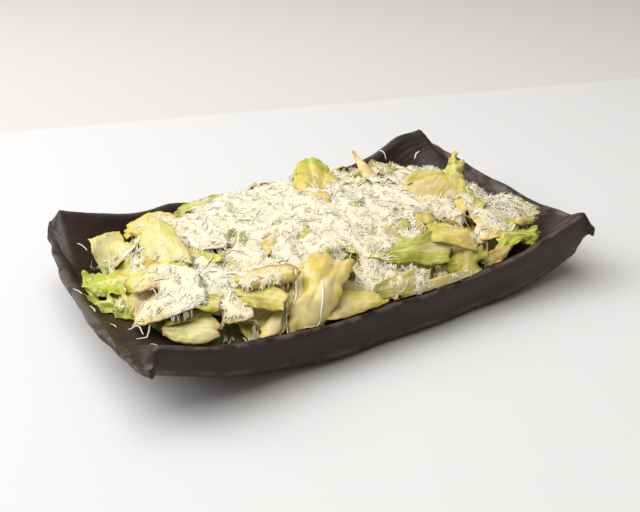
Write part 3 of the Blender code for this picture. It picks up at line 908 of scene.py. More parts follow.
# The leaves that show, by kind. Places are in cm; the first is the end that lies in the heap.
SHOWN_LEAVES = {
    "ribbed_leaves": [
        Leaf(((-13.8, 3.6, 2.6), (-12.4, 2.8, 3.0), (-11.7, 5.0, 4.6), (-13.9, 5.4, 4.2)), arch=0.03, cup=0.05, green=0.14, bruise=0.1, cheese=0.25, blunt=0.05),
        Leaf(((-12.2, 0.8, 4.2), (-9.8, -2.4, 5.2), (-9.7, 1.7, 6.0), (-10.7, 3.0, 6.3)), arch=0.05, cup=0.1, green=0.24, bruise=0.1, cheese=0.2, blunt=0.12),
        Leaf(((-9.8, -6.0, 3.4), (-10.7, -7.0, 2.5), (-13.0, -4.5, 2.1), (-12.2, -3.7, 3.0)), arch=0.05, cup=0.1, green=0.34, bruise=1, cheese=0.1, blunt=0.45),
        Leaf(((3.1, -8.1, 4.1), (1.9, -9.1, 3.1), (-1.2, -8.5, 3.1), (-1.0, -8.0, 4.1)), arch=0.04, green=0.28, cheese=0.8),
        Leaf(((5.7, -6.8, 5.2), (4.1, -8.3, 3.9), (0.5, -7.0, 4.3), (1.3, -6.2, 5.3)), arch=0.03, cup=0.05, green=0.56, bruise=0.1, cheese=0.15, blunt=0.2),
    ],
    "heart_leaves": [
        Leaf(((-7.5, 5.2, 4.5), (-9.7, 3.6, 4.3), (-11.8, 6.5, 3.2), (-9.4, 8.3, 3.6)), green=0.25, bruise=0.4, cheese=0.8),
        Leaf(((-0.5, 5.1, 4.9), (-3.1, 5.7, 4.3), (-2.3, 8.5, 2.9), (0.7, 7.7, 3.5)), green=0.3, cheese=0.6),
        Leaf(((8.2, 3.8, 4.2), (5.8, 5.0, 4.4), (7.3, 8.3, 3.4), (9.9, 6.9, 3.0)), green=0.18, bruise=0.5, cheese=0.8),
        Leaf(((-13.2, 3.1, 3.1), (-11.8, 1.5, 3.9), (-11.3, 3.0, 4.4), (-12.7, 5.0, 4.2)), green=0.14, cheese=0.9),
        Leaf(((-10.6, -4.3, 4.6), (-9.8, -3.3, 5.4), (-12.9, 0.2, 4.3), (-13.8, -1.2, 3.6)), arch=0.08, cup=0.25, green=0.14, bruise=1, cheese=2.4, bare=0.85, blunt=0.35),
        Leaf(((-10.1, -4.3, 4.7), (-10.6, -5.6, 4.2), (-14.2, -3.3, 2.5), (-13.1, -1.7, 3.3)), arch=0.05, cup=0.15, green=0.04, cheese=2, bare=0.45, blunt=0.5),
        Leaf(((-7.8, -6.1, 4.6), (-8.6, -7.3, 3.6), (-10.1, -6.5, 3.2), (-9.4, -5.2, 4.4)), cup=0.1, green=0.06, cheese=1.5, bare=0.1),
        Leaf(((-5.1, -6.2, 5.6), (-5.8, -7.2, 5.0), (-9.0, -5.7, 4.8), (-8.4, -4.9, 5.4)), cup=0.3, green=0.18, bruise=1.4, cheese=0.8, bare=0.5, blunt=0.4),
        Leaf(((-6.7, -7.1, 3.8), (-7.4, -8.4, 2.9), (-8.7, -7.9, 2.7), (-8.0, -7.2, 3.1)), green=0.1, bruise=0.5, cheese=0.1),
        Leaf(((-6.8, -7.5, 3.5), (-6.0, -8.1, 3.3), (-3.2, -5.9, 5.0), (-4.7, -5.4, 5.2)), arch=0.08, green=0.14, bruise=0.3, cheese=0.4),
        Leaf(((-7.2, -8.3, 2.7), (-5.0, -9.0, 2.8), (-1.9, -7.1, 5.0), (-3.6, -5.3, 5.7)), arch=0.14, cup=0.35, green=0.15, bruise=0.7, cheese=0.2, bare=0.1, blunt=0.15),
        Leaf(((-2.9, -7.0, 4.0), (-5.2, -8.9, 2.9), (-0.8, -9.5, 3.1), (-0.7, -9.0, 3.3)), arch=0.04, cup=0.05, green=0.26, bruise=0.3, cheese=0.05),
        Leaf(((6.4, -8.8, 3.2), (5.9, -9.2, 2.7), (-0.1, -8.9, 2.9), (0.5, -8.4, 3.4)), green=0.2, cheese=1.3, bare=0.1),
        Leaf(((7.2, -7.4, 4.9), (6.1, -8.5, 4.2), (3.5, -7.0, 5.1), (4.3, -5.9, 5.6)), green=0.28, bruise=0.7, cheese=0.3),
        Leaf(((9.9, -7.8, 3.7), (9.3, -8.3, 3.2), (6.6, -8.9, 2.7), (6.9, -8.2, 3.7)), arch=0.08, cup=0.3, green=0.18, bruise=1, cheese=0),
        Leaf(((8.9, -4.6, 4.8), (7.6, -7.0, 4.0), (9.6, -7.4, 3.8), (12.0, -5.3, 4.2)), green=0.2, cheese=1.5, bare=0.1),
        Leaf(((10.6, -3.1, 5.0), (8.5, -5.5, 4.4), (12.3, -7.0, 3.8), (15.1, -5.0, 3.9)), green=0.2, cheese=1.6, bare=0.1),
        Leaf(((5.1, -1.8, 5.6), (8.6, -3.4, 5.0), (10.7, -2.3, 5.7), (7.4, -0.3, 6.6)), arch=0.05, cup=0.05, green=0.14, bruise=0.2, cheese=0.08),
        Leaf(((4.1, 1.2, 6.0), (5.2, 1.0, 6.0), (5.2, 3.8, 6.8), (5.0, 4.1, 6.8)), arch=0.02, green=0.1, bruise=0.6, cheese=0.1),
        Leaf(((-1.9, 1.5, 5.9), (2.7, 1.1, 5.9), (2.2, 3.8, 6.8), (1.4, 4.7, 6.9)), arch=0.04, cup=0.1, green=0.42, bruise=0.1, cheese=0.12, blunt=0.15),
        Leaf(((-0.3, 1.2, 6.0), (-1.3, -0.4, 5.9), (0.1, -1.3, 5.9), (1.1, 0.4, 6.0)), cup=0.3, green=0.1, bruise=0.9, cheese=0.1, flush=1),
        Leaf(((-3.4, -0.9, 5.8), (-3.0, -1.6, 5.7), (-5.7, -4.1, 5.4), (-6.1, -3.3, 5.4)), green=0.1, bruise=0.9, cheese=0.25, flush=1),
        Leaf(((5.8, -2.3, 5.8), (7.1, -2.5, 5.6), (5.1, -5.9, 5.2), (3.8, -5.6, 5.4)), green=0.3, bruise=0.8, cheese=0.3, flush=1),
        Leaf(((-9.1, 0.5, 5.4), (-9.2, -1.1, 5.1), (-7.3, -1.9, 5.2), (-7.1, -0.3, 5.5)), green=0.2, cheese=1.5, bare=0.1),
    ],
    "green_leaves": [
        Leaf(((-3.5, 5.5, 4.8), (-6.1, 4.1, 4.8), (-8.0, 7.2, 3.4), (-5.2, 8.8, 3.4)), green=0.6, cheese=0.8),
        Leaf(((11.1, 2.5, 3.5), (9.3, 4.3, 3.7), (11.6, 6.8, 3.1), (13.6, 4.8, 2.7)), green=0.5, cheese=0.8),
        Leaf(((-10.5, -0.1, 4.9), (-8.6, -3.2, 5.2), (-8.2, -2.1, 5.3), (-10.0, 0.7, 5.1)), arch=0.0, green=0.5, cheese=0.1),
        Leaf(((-12.4, 0.7, 4.0), (-10.2, -2.2, 4.9), (-9.9, -1.0, 5.0), (-11.9, 1.4, 4.2)), arch=0.0, green=0.42, cheese=0.1),
        Leaf(((-10.1, -5.1, 3.8), (-10.3, -5.7, 3.4), (-12.6, -4.2, 2.6), (-12.1, -3.9, 2.9)), arch=0.05, green=0.45, cheese=0.2),
        Leaf(((-9.5, -5.1, 4.2), (-10.0, -6.0, 3.8), (-10.9, -5.3, 3.8), (-10.4, -4.5, 4.3)), green=0.5, cheese=0.1),
        Leaf(((-6.2, -7.1, 4.8), (-7.1, -8.1, 3.9), (-9.0, -6.3, 4.1), (-8.8, -5.1, 4.7)), green=0.4, bruise=0.7, cheese=0.0, blunt=0.4),
        Leaf(((-1.8, -6.5, 3.4), (-2.3, -7.5, 2.7), (0.8, -8.1, 2.6), (0.4, -7.7, 3.3)), green=1, cheese=0),
        Leaf(((7.9, -3.7, 5.0), (9.0, -5.3, 4.5), (10.6, -4.0, 4.9), (10.1, -2.6, 5.6)), green=0.42, cheese=0.5),
        Leaf(((1.3, -1.5, 6.0), (0.8, -2.3, 5.9), (2.2, -2.5, 5.8), (2.8, -1.6, 5.9)), green=0.95, cheese=0.0, flush=1),
        Leaf(((-3.0, -2.6, 5.6), (-3.6, -3.6, 5.5), (-2.2, -3.8, 5.5), (-1.7, -3.0, 5.6)), green=0.62, cheese=0.1, flush=1),
        Leaf(((3.1, -3.6, 5.7), (2.2, -4.9, 5.5), (3.8, -4.9, 5.5), (4.8, -3.6, 5.7)), green=0.42, cheese=0.3, flush=1),
    ],
    "frilly_leaves": [
        Leaf(((4.9, 4.8, 4.4), (1.9, 4.4, 5.0), (0.9, 7.8, 3.7), (4.3, 8.2, 2.9)), green=0.55, cheese=0.7),
        Leaf(((-12.6, 1.7, 3.6), (-13.2, -0.8, 3.3), (-15.2, 0.8, 2.5), (-15.4, 3.4, 2.9)), green=0.58, cheese=0.2),
        Leaf(((-14.0, 0.9, 2.9), (-12.8, -0.9, 3.2), (-13.5, -1.8, 2.1), (-14.5, -1.2, 2.0)), green=0.56, cheese=0.3),
        Leaf(((-13.7, 0.2, 3.1), (-13.8, -1.2, 2.7), (-14.9, -0.2, 2.2), (-15.2, 1.2, 2.4)), green=0.6, cheese=0.9),
        Leaf(((4.7, -7.5, 4.2), (6.9, -8.1, 4.2), (5.9, -9.3, 2.8), (4.5, -8.8, 2.7)), arch=0.1, cup=0.4, green=0.45, bruise=0.5, cheese=0.1),
        Leaf(((10.2, -6.1, 4.3), (8.5, -7.8, 3.7), (10.9, -8.4, 3.3), (12.6, -7.6, 3.6)), green=0.62, cheese=0.1),
        Leaf(((9.7, -0.9, 5.4), (10.9, -1.5, 5.2), (11.8, 0.6, 6.4), (11.4, 0.9, 6.5)), arch=0.0, green=0.45, cheese=0.1),
    ],
}


def random_leaf(rng, x, y, kind, surface):
    """A leaf that lies near a place with its ends at the height of what is below them."""
    length, width = rng.uniform(0.032, 0.056), rng.uniform(0.024, 0.042)
    turn = rng.uniform(0.0, 2.0 * pi)
    step = np.array((cos(turn), sin(turn))) * length / 2.0
    ends = np.array(((x - step[0], y - step[1]), (x + step[0], y + step[1])))
    heights = surface.soft[surface.cells(ends[:, 0], ends[:, 1])] + rng.uniform(0.0, 0.008, 2)
    base, tip = np.append(ends[0], heights[0]), np.append(ends[1], heights[1])
    corners = square_corners(base, tip, width, rng.normal(0.0, 0.23), *rng.uniform(0.45, 1.15, 2),
                             rng.normal(0.0, 0.35))
    green = {"heart_leaves": 0.22, "ribbed_leaves": 0.15, "green_leaves": 0.62, "frilly_leaves": 0.60}[kind]
    return Leaf(corners / CM, rng.uniform(0.0, 0.12), rng.uniform(-0.1, 0.3), rng.uniform(-0.1, 0.15),
                green + rng.normal(0.0, 0.10), rng.uniform(0.1, 0.8), rng.uniform(0.8, 1.2), 0.2)


def fits_in_dish(x, y):
    """Whether a scattered leaf's middle lies in the heap; the near corners stay bare."""
    inside = (abs(x) / 0.130) ** 2.6 + (abs(y) / 0.074) ** 2.6 < 1.0
    return inside and -0.8 * x - 0.6 * y < 0.104 and 0.8 * x - 0.6 * y < 0.118


def scatter_leaves(piles, surface, settings):
    """Fill the heap with leaves dropped at random, before the ones that show."""
    rng = np.random.default_rng(settings.leaf_seed)
    kinds = ["heart_leaves", "green_leaves", "ribbed_leaves", "frilly_leaves"]
    placed = 0
    for attempt in range(settings.filler_leaves * 4):
        if placed == settings.filler_leaves:
            break
        x, y = rng.uniform(-0.130, 0.130), rng.uniform(-0.074, 0.074)
        if not fits_in_dish(x, y):
            continue
        if attempt % 8 == 0:
            surface.soft = surface.softened(24)
        kind = rng.choice(kinds, p=(0.42, 0.25, 0.18, 0.15))
        leaf = random_leaf(rng, x, y, kind, surface)
        upper, lower, shade, cheese = grow_leaf(leaf, KINDS[kind], 1000 + 40 * attempt, settings.filler_cell)
        gap = upper[..., 2] - surface.at(upper[..., 0], upper[..., 1])
        shift = -np.percentile(gap, 22) + 0.0008
        upper[..., 2] += shift
        lower[..., 2] += shift
        roof = mound_height(upper[..., 0], upper[..., 1]) + 0.003
        if (upper[..., 2] > roof).mean() > 0.25 or upper[..., 2].max() > 0.066:
            continue
        keep_inside(upper, lower, surface)
        piles[kind].add(upper, lower, shade)
        surface.lay_grid(upper, cheese)
        placed += 1


def keep_inside(upper, lower, surface):
    """Bend in what would reach over the long rims, and lift what would reach into the dish."""
    for face in (upper, lower):
        past = np.maximum(np.abs(face[..., 1]) - 0.0865, 0.0)
        face[..., 1] -= np.sign(face[..., 1]) * (past - 0.0045 * np.tanh(past / 0.0045))
    i, j = surface.cells(upper[..., 0], upper[..., 1])
    sunk = np.maximum(surface.dish[i, j] + 0.0007 - lower[..., 2], 0.0)
    upper[..., 2] += sunk
    lower[..., 2] += sunk


def make_leaves(settings, surface):
    """All lettuce: first the scattered leaves, then the ones that show."""
    piles = {kind: LeafPile() for kind in KINDS}
    surface.dish = surface.height.copy()
    surface.lay_piece(bpy.data.objects["salad_bed"])
    surface.cheese[surface.height > surface.dish + 0.0005] = 0.5
    scatter_leaves(piles, surface, settings)
    bridge_gaps(surface)
    for kind, leaves in SHOWN_LEAVES.items():
        for number, leaf in enumerate(leaves):
            upper, lower, shade, cheese = grow_leaf(leaf, KINDS[kind], 97 * number + len(kind), settings.leaf_cell)
            if leaf.flush:
                sink = np.percentile(upper[..., 2] - surface.at(upper[..., 0], upper[..., 1]), 45)
                upper[..., 2] -= sink
                lower[..., 2] -= sink
            keep_inside(upper, lower, surface)
            piles[kind].add(upper, lower, shade)
            surface.lay_grid(upper, cheese)
    looks = {
        "heart_leaves": dict(dressing=0.18),
        "ribbed_leaves": dict(dressing=0.10, Heart=(0.64, 0.58, 0.28), Yellow=(0.60, 0.54, 0.15),
                              Vein=(0.86, 0.79, 0.50)),
        "green_leaves": dict(dressing=0.15),
        "frilly_leaves": dict(dressing=0.05, Lime=(0.39, 0.46, 0.022)),
    }
    for kind, pile in piles.items():
        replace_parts(pile.piece(kind, leaf_material(kind, settings, **looks[kind])), "salad_heap")


# ---- cheese -----------------------------------------------------------------------------------
def thread_paths(rng, x, y, lengths, steps):
    """Curled level paths that start at x, y: arrays of x and y for each thread and step."""
    count = len(x)
    heading = rng.uniform(0.0, 2.0 * pi, count)[:, None]
    bend = rng.normal(0.0, 1.0, (count, 1))
    waver = rng.normal(0.0, 0.5, (count, 1))
    t = np.linspace(0.0, 1.0, steps)[None, :]
    angle = heading + bend * t + waver * np.sin(2.0 * pi * t * 1.3)
    step = lengths[:, None] / (steps - 1)
    dx = np.cumsum(np.cos(angle) * step, axis=1)
    dy = np.cumsum(np.sin(angle) * step, axis=1)
    half = steps // 2
    return x[:, None] + dx - dx[:, half:half + 1], y[:, None] + dy - dy[:, half:half + 1]


def level_at(mat, surface, x, y):
    """Height of the mat at places between the middles of its cells."""
    i = np.clip((x - surface.x0) / surface.CELL - 0.5, 0.0, mat.shape[0] - 1.001)
    j = np.clip((y - surface.y0) / surface.CELL - 0.5, 0.0, mat.shape[1] - 1.001)
    a, b = i.astype(int), j.astype(int)
    near = blend(mat[a, b], mat[a + 1, b], i - a)
    far = blend(mat[a, b + 1], mat[a + 1, b + 1], i - a)
    return blend(near, far, j - b)


def settle(mat, surface, x, y, rest, step, steepest):
    """Heights of threads that lie on the mat of cheese, no steeper than they can bend."""
    z = level_at(mat, surface, x, y) + rest[:, None]
    fall = step * steepest
    count = z.shape[1]
    for k in range(1, count):
        z[:, k] = np.maximum(z[:, k], z[:, k - 1] - fall)
    for k in range(count - 2, -1, -1):
        z[:, k] = np.maximum(z[:, k], z[:, k + 1] - fall)
    return z


def thread_mesh(paths, widths, mat, surface, rng):
    """Tapered ribbons lying flat on the mat with a low ridge, along paths of shape (count, steps, 3)."""
    count, steps = paths.shape[:2]
    tangent = unit(np.gradient(paths, axis=1))
    cell = surface.cells(paths[..., 0], paths[..., 1])
    slopes = [np.clip(-slope[cell], -1.5, 1.5) for slope in np.gradient(mat, surface.CELL)]
    up = unit(np.stack((*slopes, np.ones((count, steps))), axis=-1))
    side = unit(np.cross(tangent, up) + 1e-6)
    over = np.cross(side, tangent)
    t = np.linspace(0.0, 1.0, steps)
    taper = np.clip(np.sin(pi * (0.06 + 0.88 * t)) ** 0.45, 0.25, 1.0)
    roll = rng.normal(0.0, 0.12, (count, 1)) + rng.normal(0.0, 0.15, (count, 1)) * t[None, :]
    reach = (widths[:, None] * taper)[..., None]
    rings = []
    for wide, high in ((-0.50, -0.04), (0.50, -0.04), (0.0, 0.10)):
        across, lift = wide * np.cos(roll) - high * np.sin(roll), wide * np.sin(roll) + high * np.cos(roll)
        rings.append(paths + reach * (across[..., None] * side + lift[..., None] * over))
    points = np.stack(rings, axis=2)
    index = np.arange(count * steps * 3).reshape(count, steps, 3)
    quads = []
    for a, b in ((0, 1), (1, 2), (2, 0)):
        quads.append(np.stack((index[:, :-1, a], index[:, :-1, b], index[:, 1:, b], index[:, 1:, a]), axis=-1))
    quads = np.stack(quads).reshape(-1, 4)
    ends = np.concatenate((index[:, 0, ::-1], index[:, -1, :]))
    return points.reshape(-1, 3), quads, ends


# Where cheese lies thick or thin, in cm: place, half sizes across and along, and how much.
DRIFTS = (
    (0.0, 0.0, 15.0, 9.0, 0.50),
    (-5.5, 2.2, 5.5, 4.0, 1.0),
    (1.5, -2.0, 6.0, 4.0, 0.8),
    (12.0, 0.5, 3.4, 4.5, 1.7),
    (-5.0, -4.0, 3.5, 1.6, 0.7),
    (2.0, -7.8, 4.5, 1.2, 0.8),
    (-10.4, -3.9, 2.4, 1.7, 0.8),
    (-7.8, -6.0, 1.6, 1.2, 0.6),
)

# Single threads lying loose or hanging down, in cm: both ends, then how far they bow aside.
STRANDS = (
    (-5.5, -6.6, -6.3, -7.7, 0.1),
    (-4.4, -7.6, -5.5, -9.0, 0.2),
    (-6.6, -7.6, -7.0, -8.5, -0.1),
    (-7.6, 2.1, -7.8, 0.5, 0.2),
    (-8.7, -2.0, -9.5, -2.9, 0.3),
    (-14.3, 6.6, -13.8, 6.2, 0.1),
    (-16.0, 1.8, -15.6, 1.2, 0.1),
    (-15.1, -2.2, -14.9, -2.6, 0.1),
    (-14.3, -2.8, -13.7, -3.6, 0.2),
    (-14.2, -3.9, -12.9, -3.3, -0.2),
    (-13.7, -4.6, -13.3, -4.8, 0.1),
    (-12.3, -4.7, -12.0, -5.0, 0.1),
    (11.6, -5.6, 12.2, -6.9, 0.3),
    (9.6, -7.1, 11.1, -6.7, -0.2),
    (10.8, 8.8, 11.1, 8.2, 0.1),
    (13.2, 7.2, 13.8, 7.4, 0.1),
    (-15.6, -0.1, -15.5, -0.7, 0.1),
)


def drift_amount(x, y):
    """How thick the cheese was sprinkled over a place."""
    total = np.zeros_like(x)
    for cx, cy, rx, ry, amount in DRIFTS:
        total += amount * np.exp(-((x - cx * CM) / (rx * CM)) ** 2 - ((y - cy * CM) / (ry * CM)) ** 2)
    return total


def cheese_cover(x, y):
    """How much cheese fell on a place: the drifts, gathered into clumps."""
    clumps = smooth(0.5 + 0.9 * ripple(np.stack((x, y), axis=-1), 0.013, 63))
    return drift_amount(x, y) * (0.3 + 1.2 * clumps)


def bridge_gaps(surface):
    """Where cheese is thick it closes the gaps between leaves."""
    x, y = surface.places()
    closed = surface.softened(60) + 0.0008
    gap = (cheese_cover(x, y) > 0.22) & (closed > surface.height) & (surface.height > surface.dish + 0.001)
    surface.height[gap] = closed[gap]
    surface.cheese[gap] = 1.2
    surface.bridged |= gap


def cheese_layer(settings, surface, gx, gy, weights, rng):
    """The closed mass of the thickest cheese, torn open in patches where the leaves show."""
    flat = np.stack((gx, gy), axis=-1)
    patches = 0.26 * ripple(flat, 0.010, 61) + 0.26 * ripple(flat, 0.004, 62) + rng.normal(0.0, 0.10, gx.shape)
    share = np.clip(weights + patches - 0.45, -0.5, 1.0)
    share = np.where(surface.bridged, np.maximum(share, 0.05), np.where(weights > 0.15, share, -0.3))
    slopes = np.gradient(share, surface.CELL)
    shift = np.where(share < 0.0, -share, 0.0) / (slopes[0] ** 2 + slopes[1] ** 2 + 1.0)
    reach = np.minimum(0.0009 / (shift * np.hypot(*slopes) + 1e-9), 1.0)
    x, y = gx + shift * reach * slopes[0], gy + shift * reach * slopes[1]
    lift = settings.layer_depth * np.maximum(share, -0.06)
    z = level_at(surface.softened(2), surface, x, y) + lift + rng.normal(0.0, 0.00006, gx.shape)
    z = np.minimum(z, CAD_BOX[1].z - 0.0004)
    quads = grid_quads(*gx.shape)
    keep = (share.ravel()[quads].max(axis=1) > 0.0) & (np.ptp(z.ravel()[quads], axis=1) < 0.0050)
    quads = quads[keep]
    used, quads = np.unique(quads, return_inverse=True)
    points = np.stack((x, y, z), axis=-1).reshape(-1, 3)[used]
    # The mass takes a creamier, darker tone than the threads: painted shade under the threads, most where it lies thin
    # over the leaves.
    tone = np.clip(1.05 - 0.45 * share, 0.5, 1.0).ravel()[used]
    surface.height = np.where(share > 0.0, np.maximum(surface.height, z), surface.height)
    return points, quads.reshape(-1, 4), tone


def pick_places(rng, surface, weights, count):
    """Random x and y, likelier where the weights are high."""
    flat = weights.ravel() / weights.sum()
    chosen = rng.choice(flat.size, size=count, p=flat)
    i, j = np.unravel_index(chosen, weights.shape)
    x = surface.x0 + (i + rng.uniform(0.0, 1.0, count)) * surface.CELL
    y = surface.y0 + (j + rng.uniform(0.0, 1.0, count)) * surface.CELL
    return x, y


def sprinkle(rng, mat, surface, weights, count, length, width, steps, lifted):
    """One handful of threads: their paths and widths."""
    x, y = pick_places(rng, surface, weights, count)
    lengths = rng.uniform(0.0, 1.0, count) ** 1.6 * (length[1] - length[0]) + length[0]
    widths = rng.uniform(*width, count)
    px, py = thread_paths(rng, x, y, lengths, steps)
    fall = np.ptp(mat[surface.cells(px, py)], axis=1)
    level = (fall < 0.0045) | (rng.random(count) < 0.01)
    px, py, lengths, widths, count = px[level], py[level], lengths[level], widths[level], int(level.sum())
    z = settle(mat, surface, px, py, rng.uniform(-0.00022, 0.00002, count), lengths / (steps - 1), 1.0)
    t = np.linspace(0.0, 1.0, steps)[None, :]
    loose = lifted * (1.0 + 5.0 * smooth((px.mean(axis=1) - 0.092) / 0.02))
    rise = np.where(rng.random(count) < loose, rng.uniform(0.0005, 0.0030, count), 0.0)
    z += rise[:, None] * t ** 2
    low, high = CAD_BOX
    inside = (px.max(axis=1) < high.x - 0.001) & (px.min(axis=1) > low.x) & (np.abs(py).max(axis=1) < high.y - 0.001)
    paths = np.stack((px, py, np.minimum(z, high.z)), axis=-1)
    return paths[inside], widths[inside]


def single_strands(mat, surface, steps):
    """Paths and widths of the threads that lie apart from the rest."""
    ends = np.array(STRANDS) * CM
    t = np.linspace(0.0, 1.0, steps)[None, :]
    bow = ends[:, 4:5] * np.sin(pi * t)
    way = unit(ends[:, 2:4] - ends[:, 0:2])
    x = blend(ends[:, 0:1], ends[:, 2:3], t) - way[:, 1:2] * bow
    y = blend(ends[:, 1:2], ends[:, 3:4], t) + way[:, 0:1] * bow
    step = np.hypot(x[:, 1] - x[:, 0], y[:, 1] - y[:, 0])[:, None]
    z = settle(mat, surface, x, y, np.full(len(ends), 0.0004), step[:, 0], 3.0)
    return np.stack((x, y, np.minimum(z, CAD_BOX[1].z)), axis=-1), np.full(len(ends), 0.0012)


def make_pepper(settings, surface):
    """Ground pepper and dark specks lying on the leaves and the cheese."""
    rng = np.random.default_rng(settings.cheese_seed + 1)
    x, y = pick_places(rng, surface, surface.height > surface.dish + 0.008, settings.flecks)
    middle = np.stack((x, y, surface.at(x, y) + 0.0001), axis=-1)
    size = rng.uniform(0.0003, 0.0007, (settings.flecks, 1, 1)) * rng.uniform(0.5, 1.0, (settings.flecks, 1, 3))
    spikes = np.array(((1, 0, 0), (-1, 0, 0), (0, 1, 0), (0, -1, 0), (0, 0, 1), (0, 0, -1)))
    points = middle[:, None, :] + size * spikes * rng.uniform(0.6, 1.3, (settings.flecks, 6, 1))
    sides = np.array(((0, 2, 4), (2, 1, 4), (1, 3, 4), (3, 0, 4), (2, 0, 5), (1, 2, 5), (3, 1, 5), (0, 3, 5)))
    faces = (np.arange(settings.flecks)[:, None, None] * 6 + sides).reshape(-1, 3)
    piece = new_piece("pepper_flecks", points.reshape(-1, 3), [faces], fleck_material(),
                      smooth_shading=False)
    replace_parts(piece, "salad_heap")


def make_cheese(settings, surface):
    """Grated cheese: a crumbly mass where it is thickest, and threads sprinkled over it in handfuls."""
    rng = np.random.default_rng(settings.cheese_seed)
    gx, gy = surface.places()
    weights = np.maximum(surface.cheese * cheese_cover(gx, gy) - 0.12, 0.0)
    material = cheese_material(settings)
    points, quads, tone = cheese_layer(settings, surface, gx, gy, weights, rng)
    layer = new_piece("cheese_layer", points, [quads], material, {"tone": tone}, smooth_shading=False)
    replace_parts(layer, "salad_heap")
    kinds = (
        ("cheese_shreds", settings.shreds, (0.0025, 0.0070), (0.0006, 0.0010), 3, 0.02),
        ("cheese_threads", settings.threads, (0.006, 0.017), (0.0006, 0.0010), 8, 0.12),
    )
    mat = surface.softened(1)
    share = np.minimum(weights, 0.7) ** 0.8
    for name, count, length, width, steps, lifted in kinds:
        paths, widths = sprinkle(rng, mat, surface, share, count, length, width, steps, lifted)
        if name == "cheese_threads":
            lone_paths, lone_widths = single_strands(mat, surface, steps)
            paths, widths = np.concatenate((paths, lone_paths)), np.concatenate((widths, lone_widths))
        points, quads, ends = thread_mesh(paths, widths, mat, surface, rng)
        tone = np.repeat(rng.uniform(0.0, 1.0, len(paths)) ** 2, 3 * steps)
        piece = new_piece(name, points, [quads, ends], material, {"tone": tone}, smooth_shading=False)
        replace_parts(piece, "salad_heap")


# ---- table, light and camera ------------------------------------------------------------------
def stage_material(settings):
    """Pale matt table; beyond its far edge the backdrop is a little darker."""
    material, sheet, shader = new_material("pale_table")
    where = sheet.add("TexCoord").outputs["Object"]
    parts = sheet.add("SeparateXYZ", None, Vector=where)
    turn = radians(settings.table_edge_turn)
    across = sheet.math("MULTIPLY", parts.outputs["X"], -sin(turn))
    ahead = sheet.math("MULTIPLY", parts.outputs["Y"], cos(turn))
    depth = sheet.math("ADD", across, ahead)
    beyond = sheet.span(depth, settings.table_edge - 0.001, settings.table_edge + 0.001)
    colour = sheet.mix(beyond, tuple(settings.table), tuple(settings.backdrop))
    sheet.join(colour, shader.inputs["Base Color"])
    shader.inputs["Roughness"].default_value = 0.75
    shader.inputs["Specular IOR Level"].default_value = 0.25
    return material


def add_light(name, size, energy, colour, place, aim):
    data = bpy.data.lights.new(name, "AREA")
    data.shape = "RECTANGLE"
    data.size, data.size_y = size
    data.energy = energy
    data.color = colour
    light = bpy.data.objects.new(name, data)
    light.location = place
    light.rotation_euler = (Vector(aim) - Vector(place)).to_track_quat("-Z", "Y").to_euler()
    light.visible_camera = False
    bpy.context.scene.collection.objects.link(light)


def make_stage(settings):
    """A pale floor, soft light from the upper left and behind, and the camera."""
    reach = 3.0
    mesh = bpy.data.meshes.new("pale_floor")
    corners = [(-reach, -reach, 0.0), (reach, -reach, 0.0), (reach, reach, 0.0), (-reach, reach, 0.0)]
    mesh.from_pydata(corners, [], [(0, 1, 2, 3)])
    mesh.materials.append(stage_material(settings))
    floor = bpy.data.objects.new("pale_floor", mesh)
    bpy.context.scene.collection.objects.link(floor)
    world = bpy.data.worlds.new("soft_room")
    world.use_nodes = True
    back = world.node_tree.nodes["Background"]
    back.inputs["Color"].default_value = (*settings.room, 1.0)
    back.inputs["Strength"].default_value = settings.room_strength
    bpy.context.scene.world = world
    for name, size, energy, colour, turn, height in (
        ("overhead_softbox", (1.8, 1.8), settings.key_power, (1.0, 0.995, 0.985), 150.0, 80.0),
        ("side_window", (1.25, 1.25), settings.window_power, (0.98, 0.99, 1.0), 150.0, 40.0),
    ):
        level = cos(radians(height))
        away = Vector((cos(radians(turn)) * level, sin(radians(turn)) * level, sin(radians(height))))
        add_light(name, size, energy, colour, away * settings.light_distance, (0.0, 0.0, 0.0))
    azimuth, elevation = radians(settings.camera_azimuth), radians(settings.camera_elevation)
    back_way = Vector((sin(azimuth) * cos(elevation), -cos(azimuth) * cos(elevation), sin(elevation)))
    data = bpy.data.cameras.new("camera")
    data.lens = settings.camera_lens
    data.sensor_width = 36.0
    camera = bpy.data.objects.new("camera", data)
    camera.location = Vector(settings.camera_target) + back_way * settings.camera_distance
    camera.rotation_euler = (-back_way).to_track_quat("-Z", "Y").to_euler()
    bpy.context.scene.collection.objects.link(camera)
    bpy.context.scene.camera = camera
    bpy.context.scene.view_settings.view_transform = "Standard"


# ---- settings ---------------------------------------------------------------------------------
def colour_setting(name, description, default):
    return FloatVectorProperty(name=name, description=description, default=default, size=3, min=0.0, max=1.0,
                               subtype="COLOR")


def length_setting(name, description, default):
    return FloatProperty(name=name, description=description, default=default, unit="LENGTH", precision=5)


class DishSettings(bpy.types.PropertyGroup):
    """Clay and glaze of the dish."""

    glaze: colour_setting("Glaze", "Main colour of the glaze", (0.030, 0.0185, 0.0150))
    glaze_warm: colour_setting("Warm glaze", "Colour where the clay shows through", (0.040, 0.022, 0.0155))
    glaze_pale: colour_setting("Pale streaks", "Colour of the combed streaks", (0.056, 0.044, 0.038))
    # Worn edge colour: worn glaze, and the painted highlight along the rims and ends.
    worn_edge_and_highlight: colour_setting("Worn edge", "Colour where edges have lost their glaze", (0.18, 0.145, 0.125))
    comb_spacing: length_setting("Comb spacing", "Distance between combed ridges", 0.0034)
    comb_depth: length_setting("Comb depth", "Half height of the combed ridges", 0.00013)
    skin_step: length_setting("Skin step", "Spacing of the upper surface's points across the dish", 0.0008)


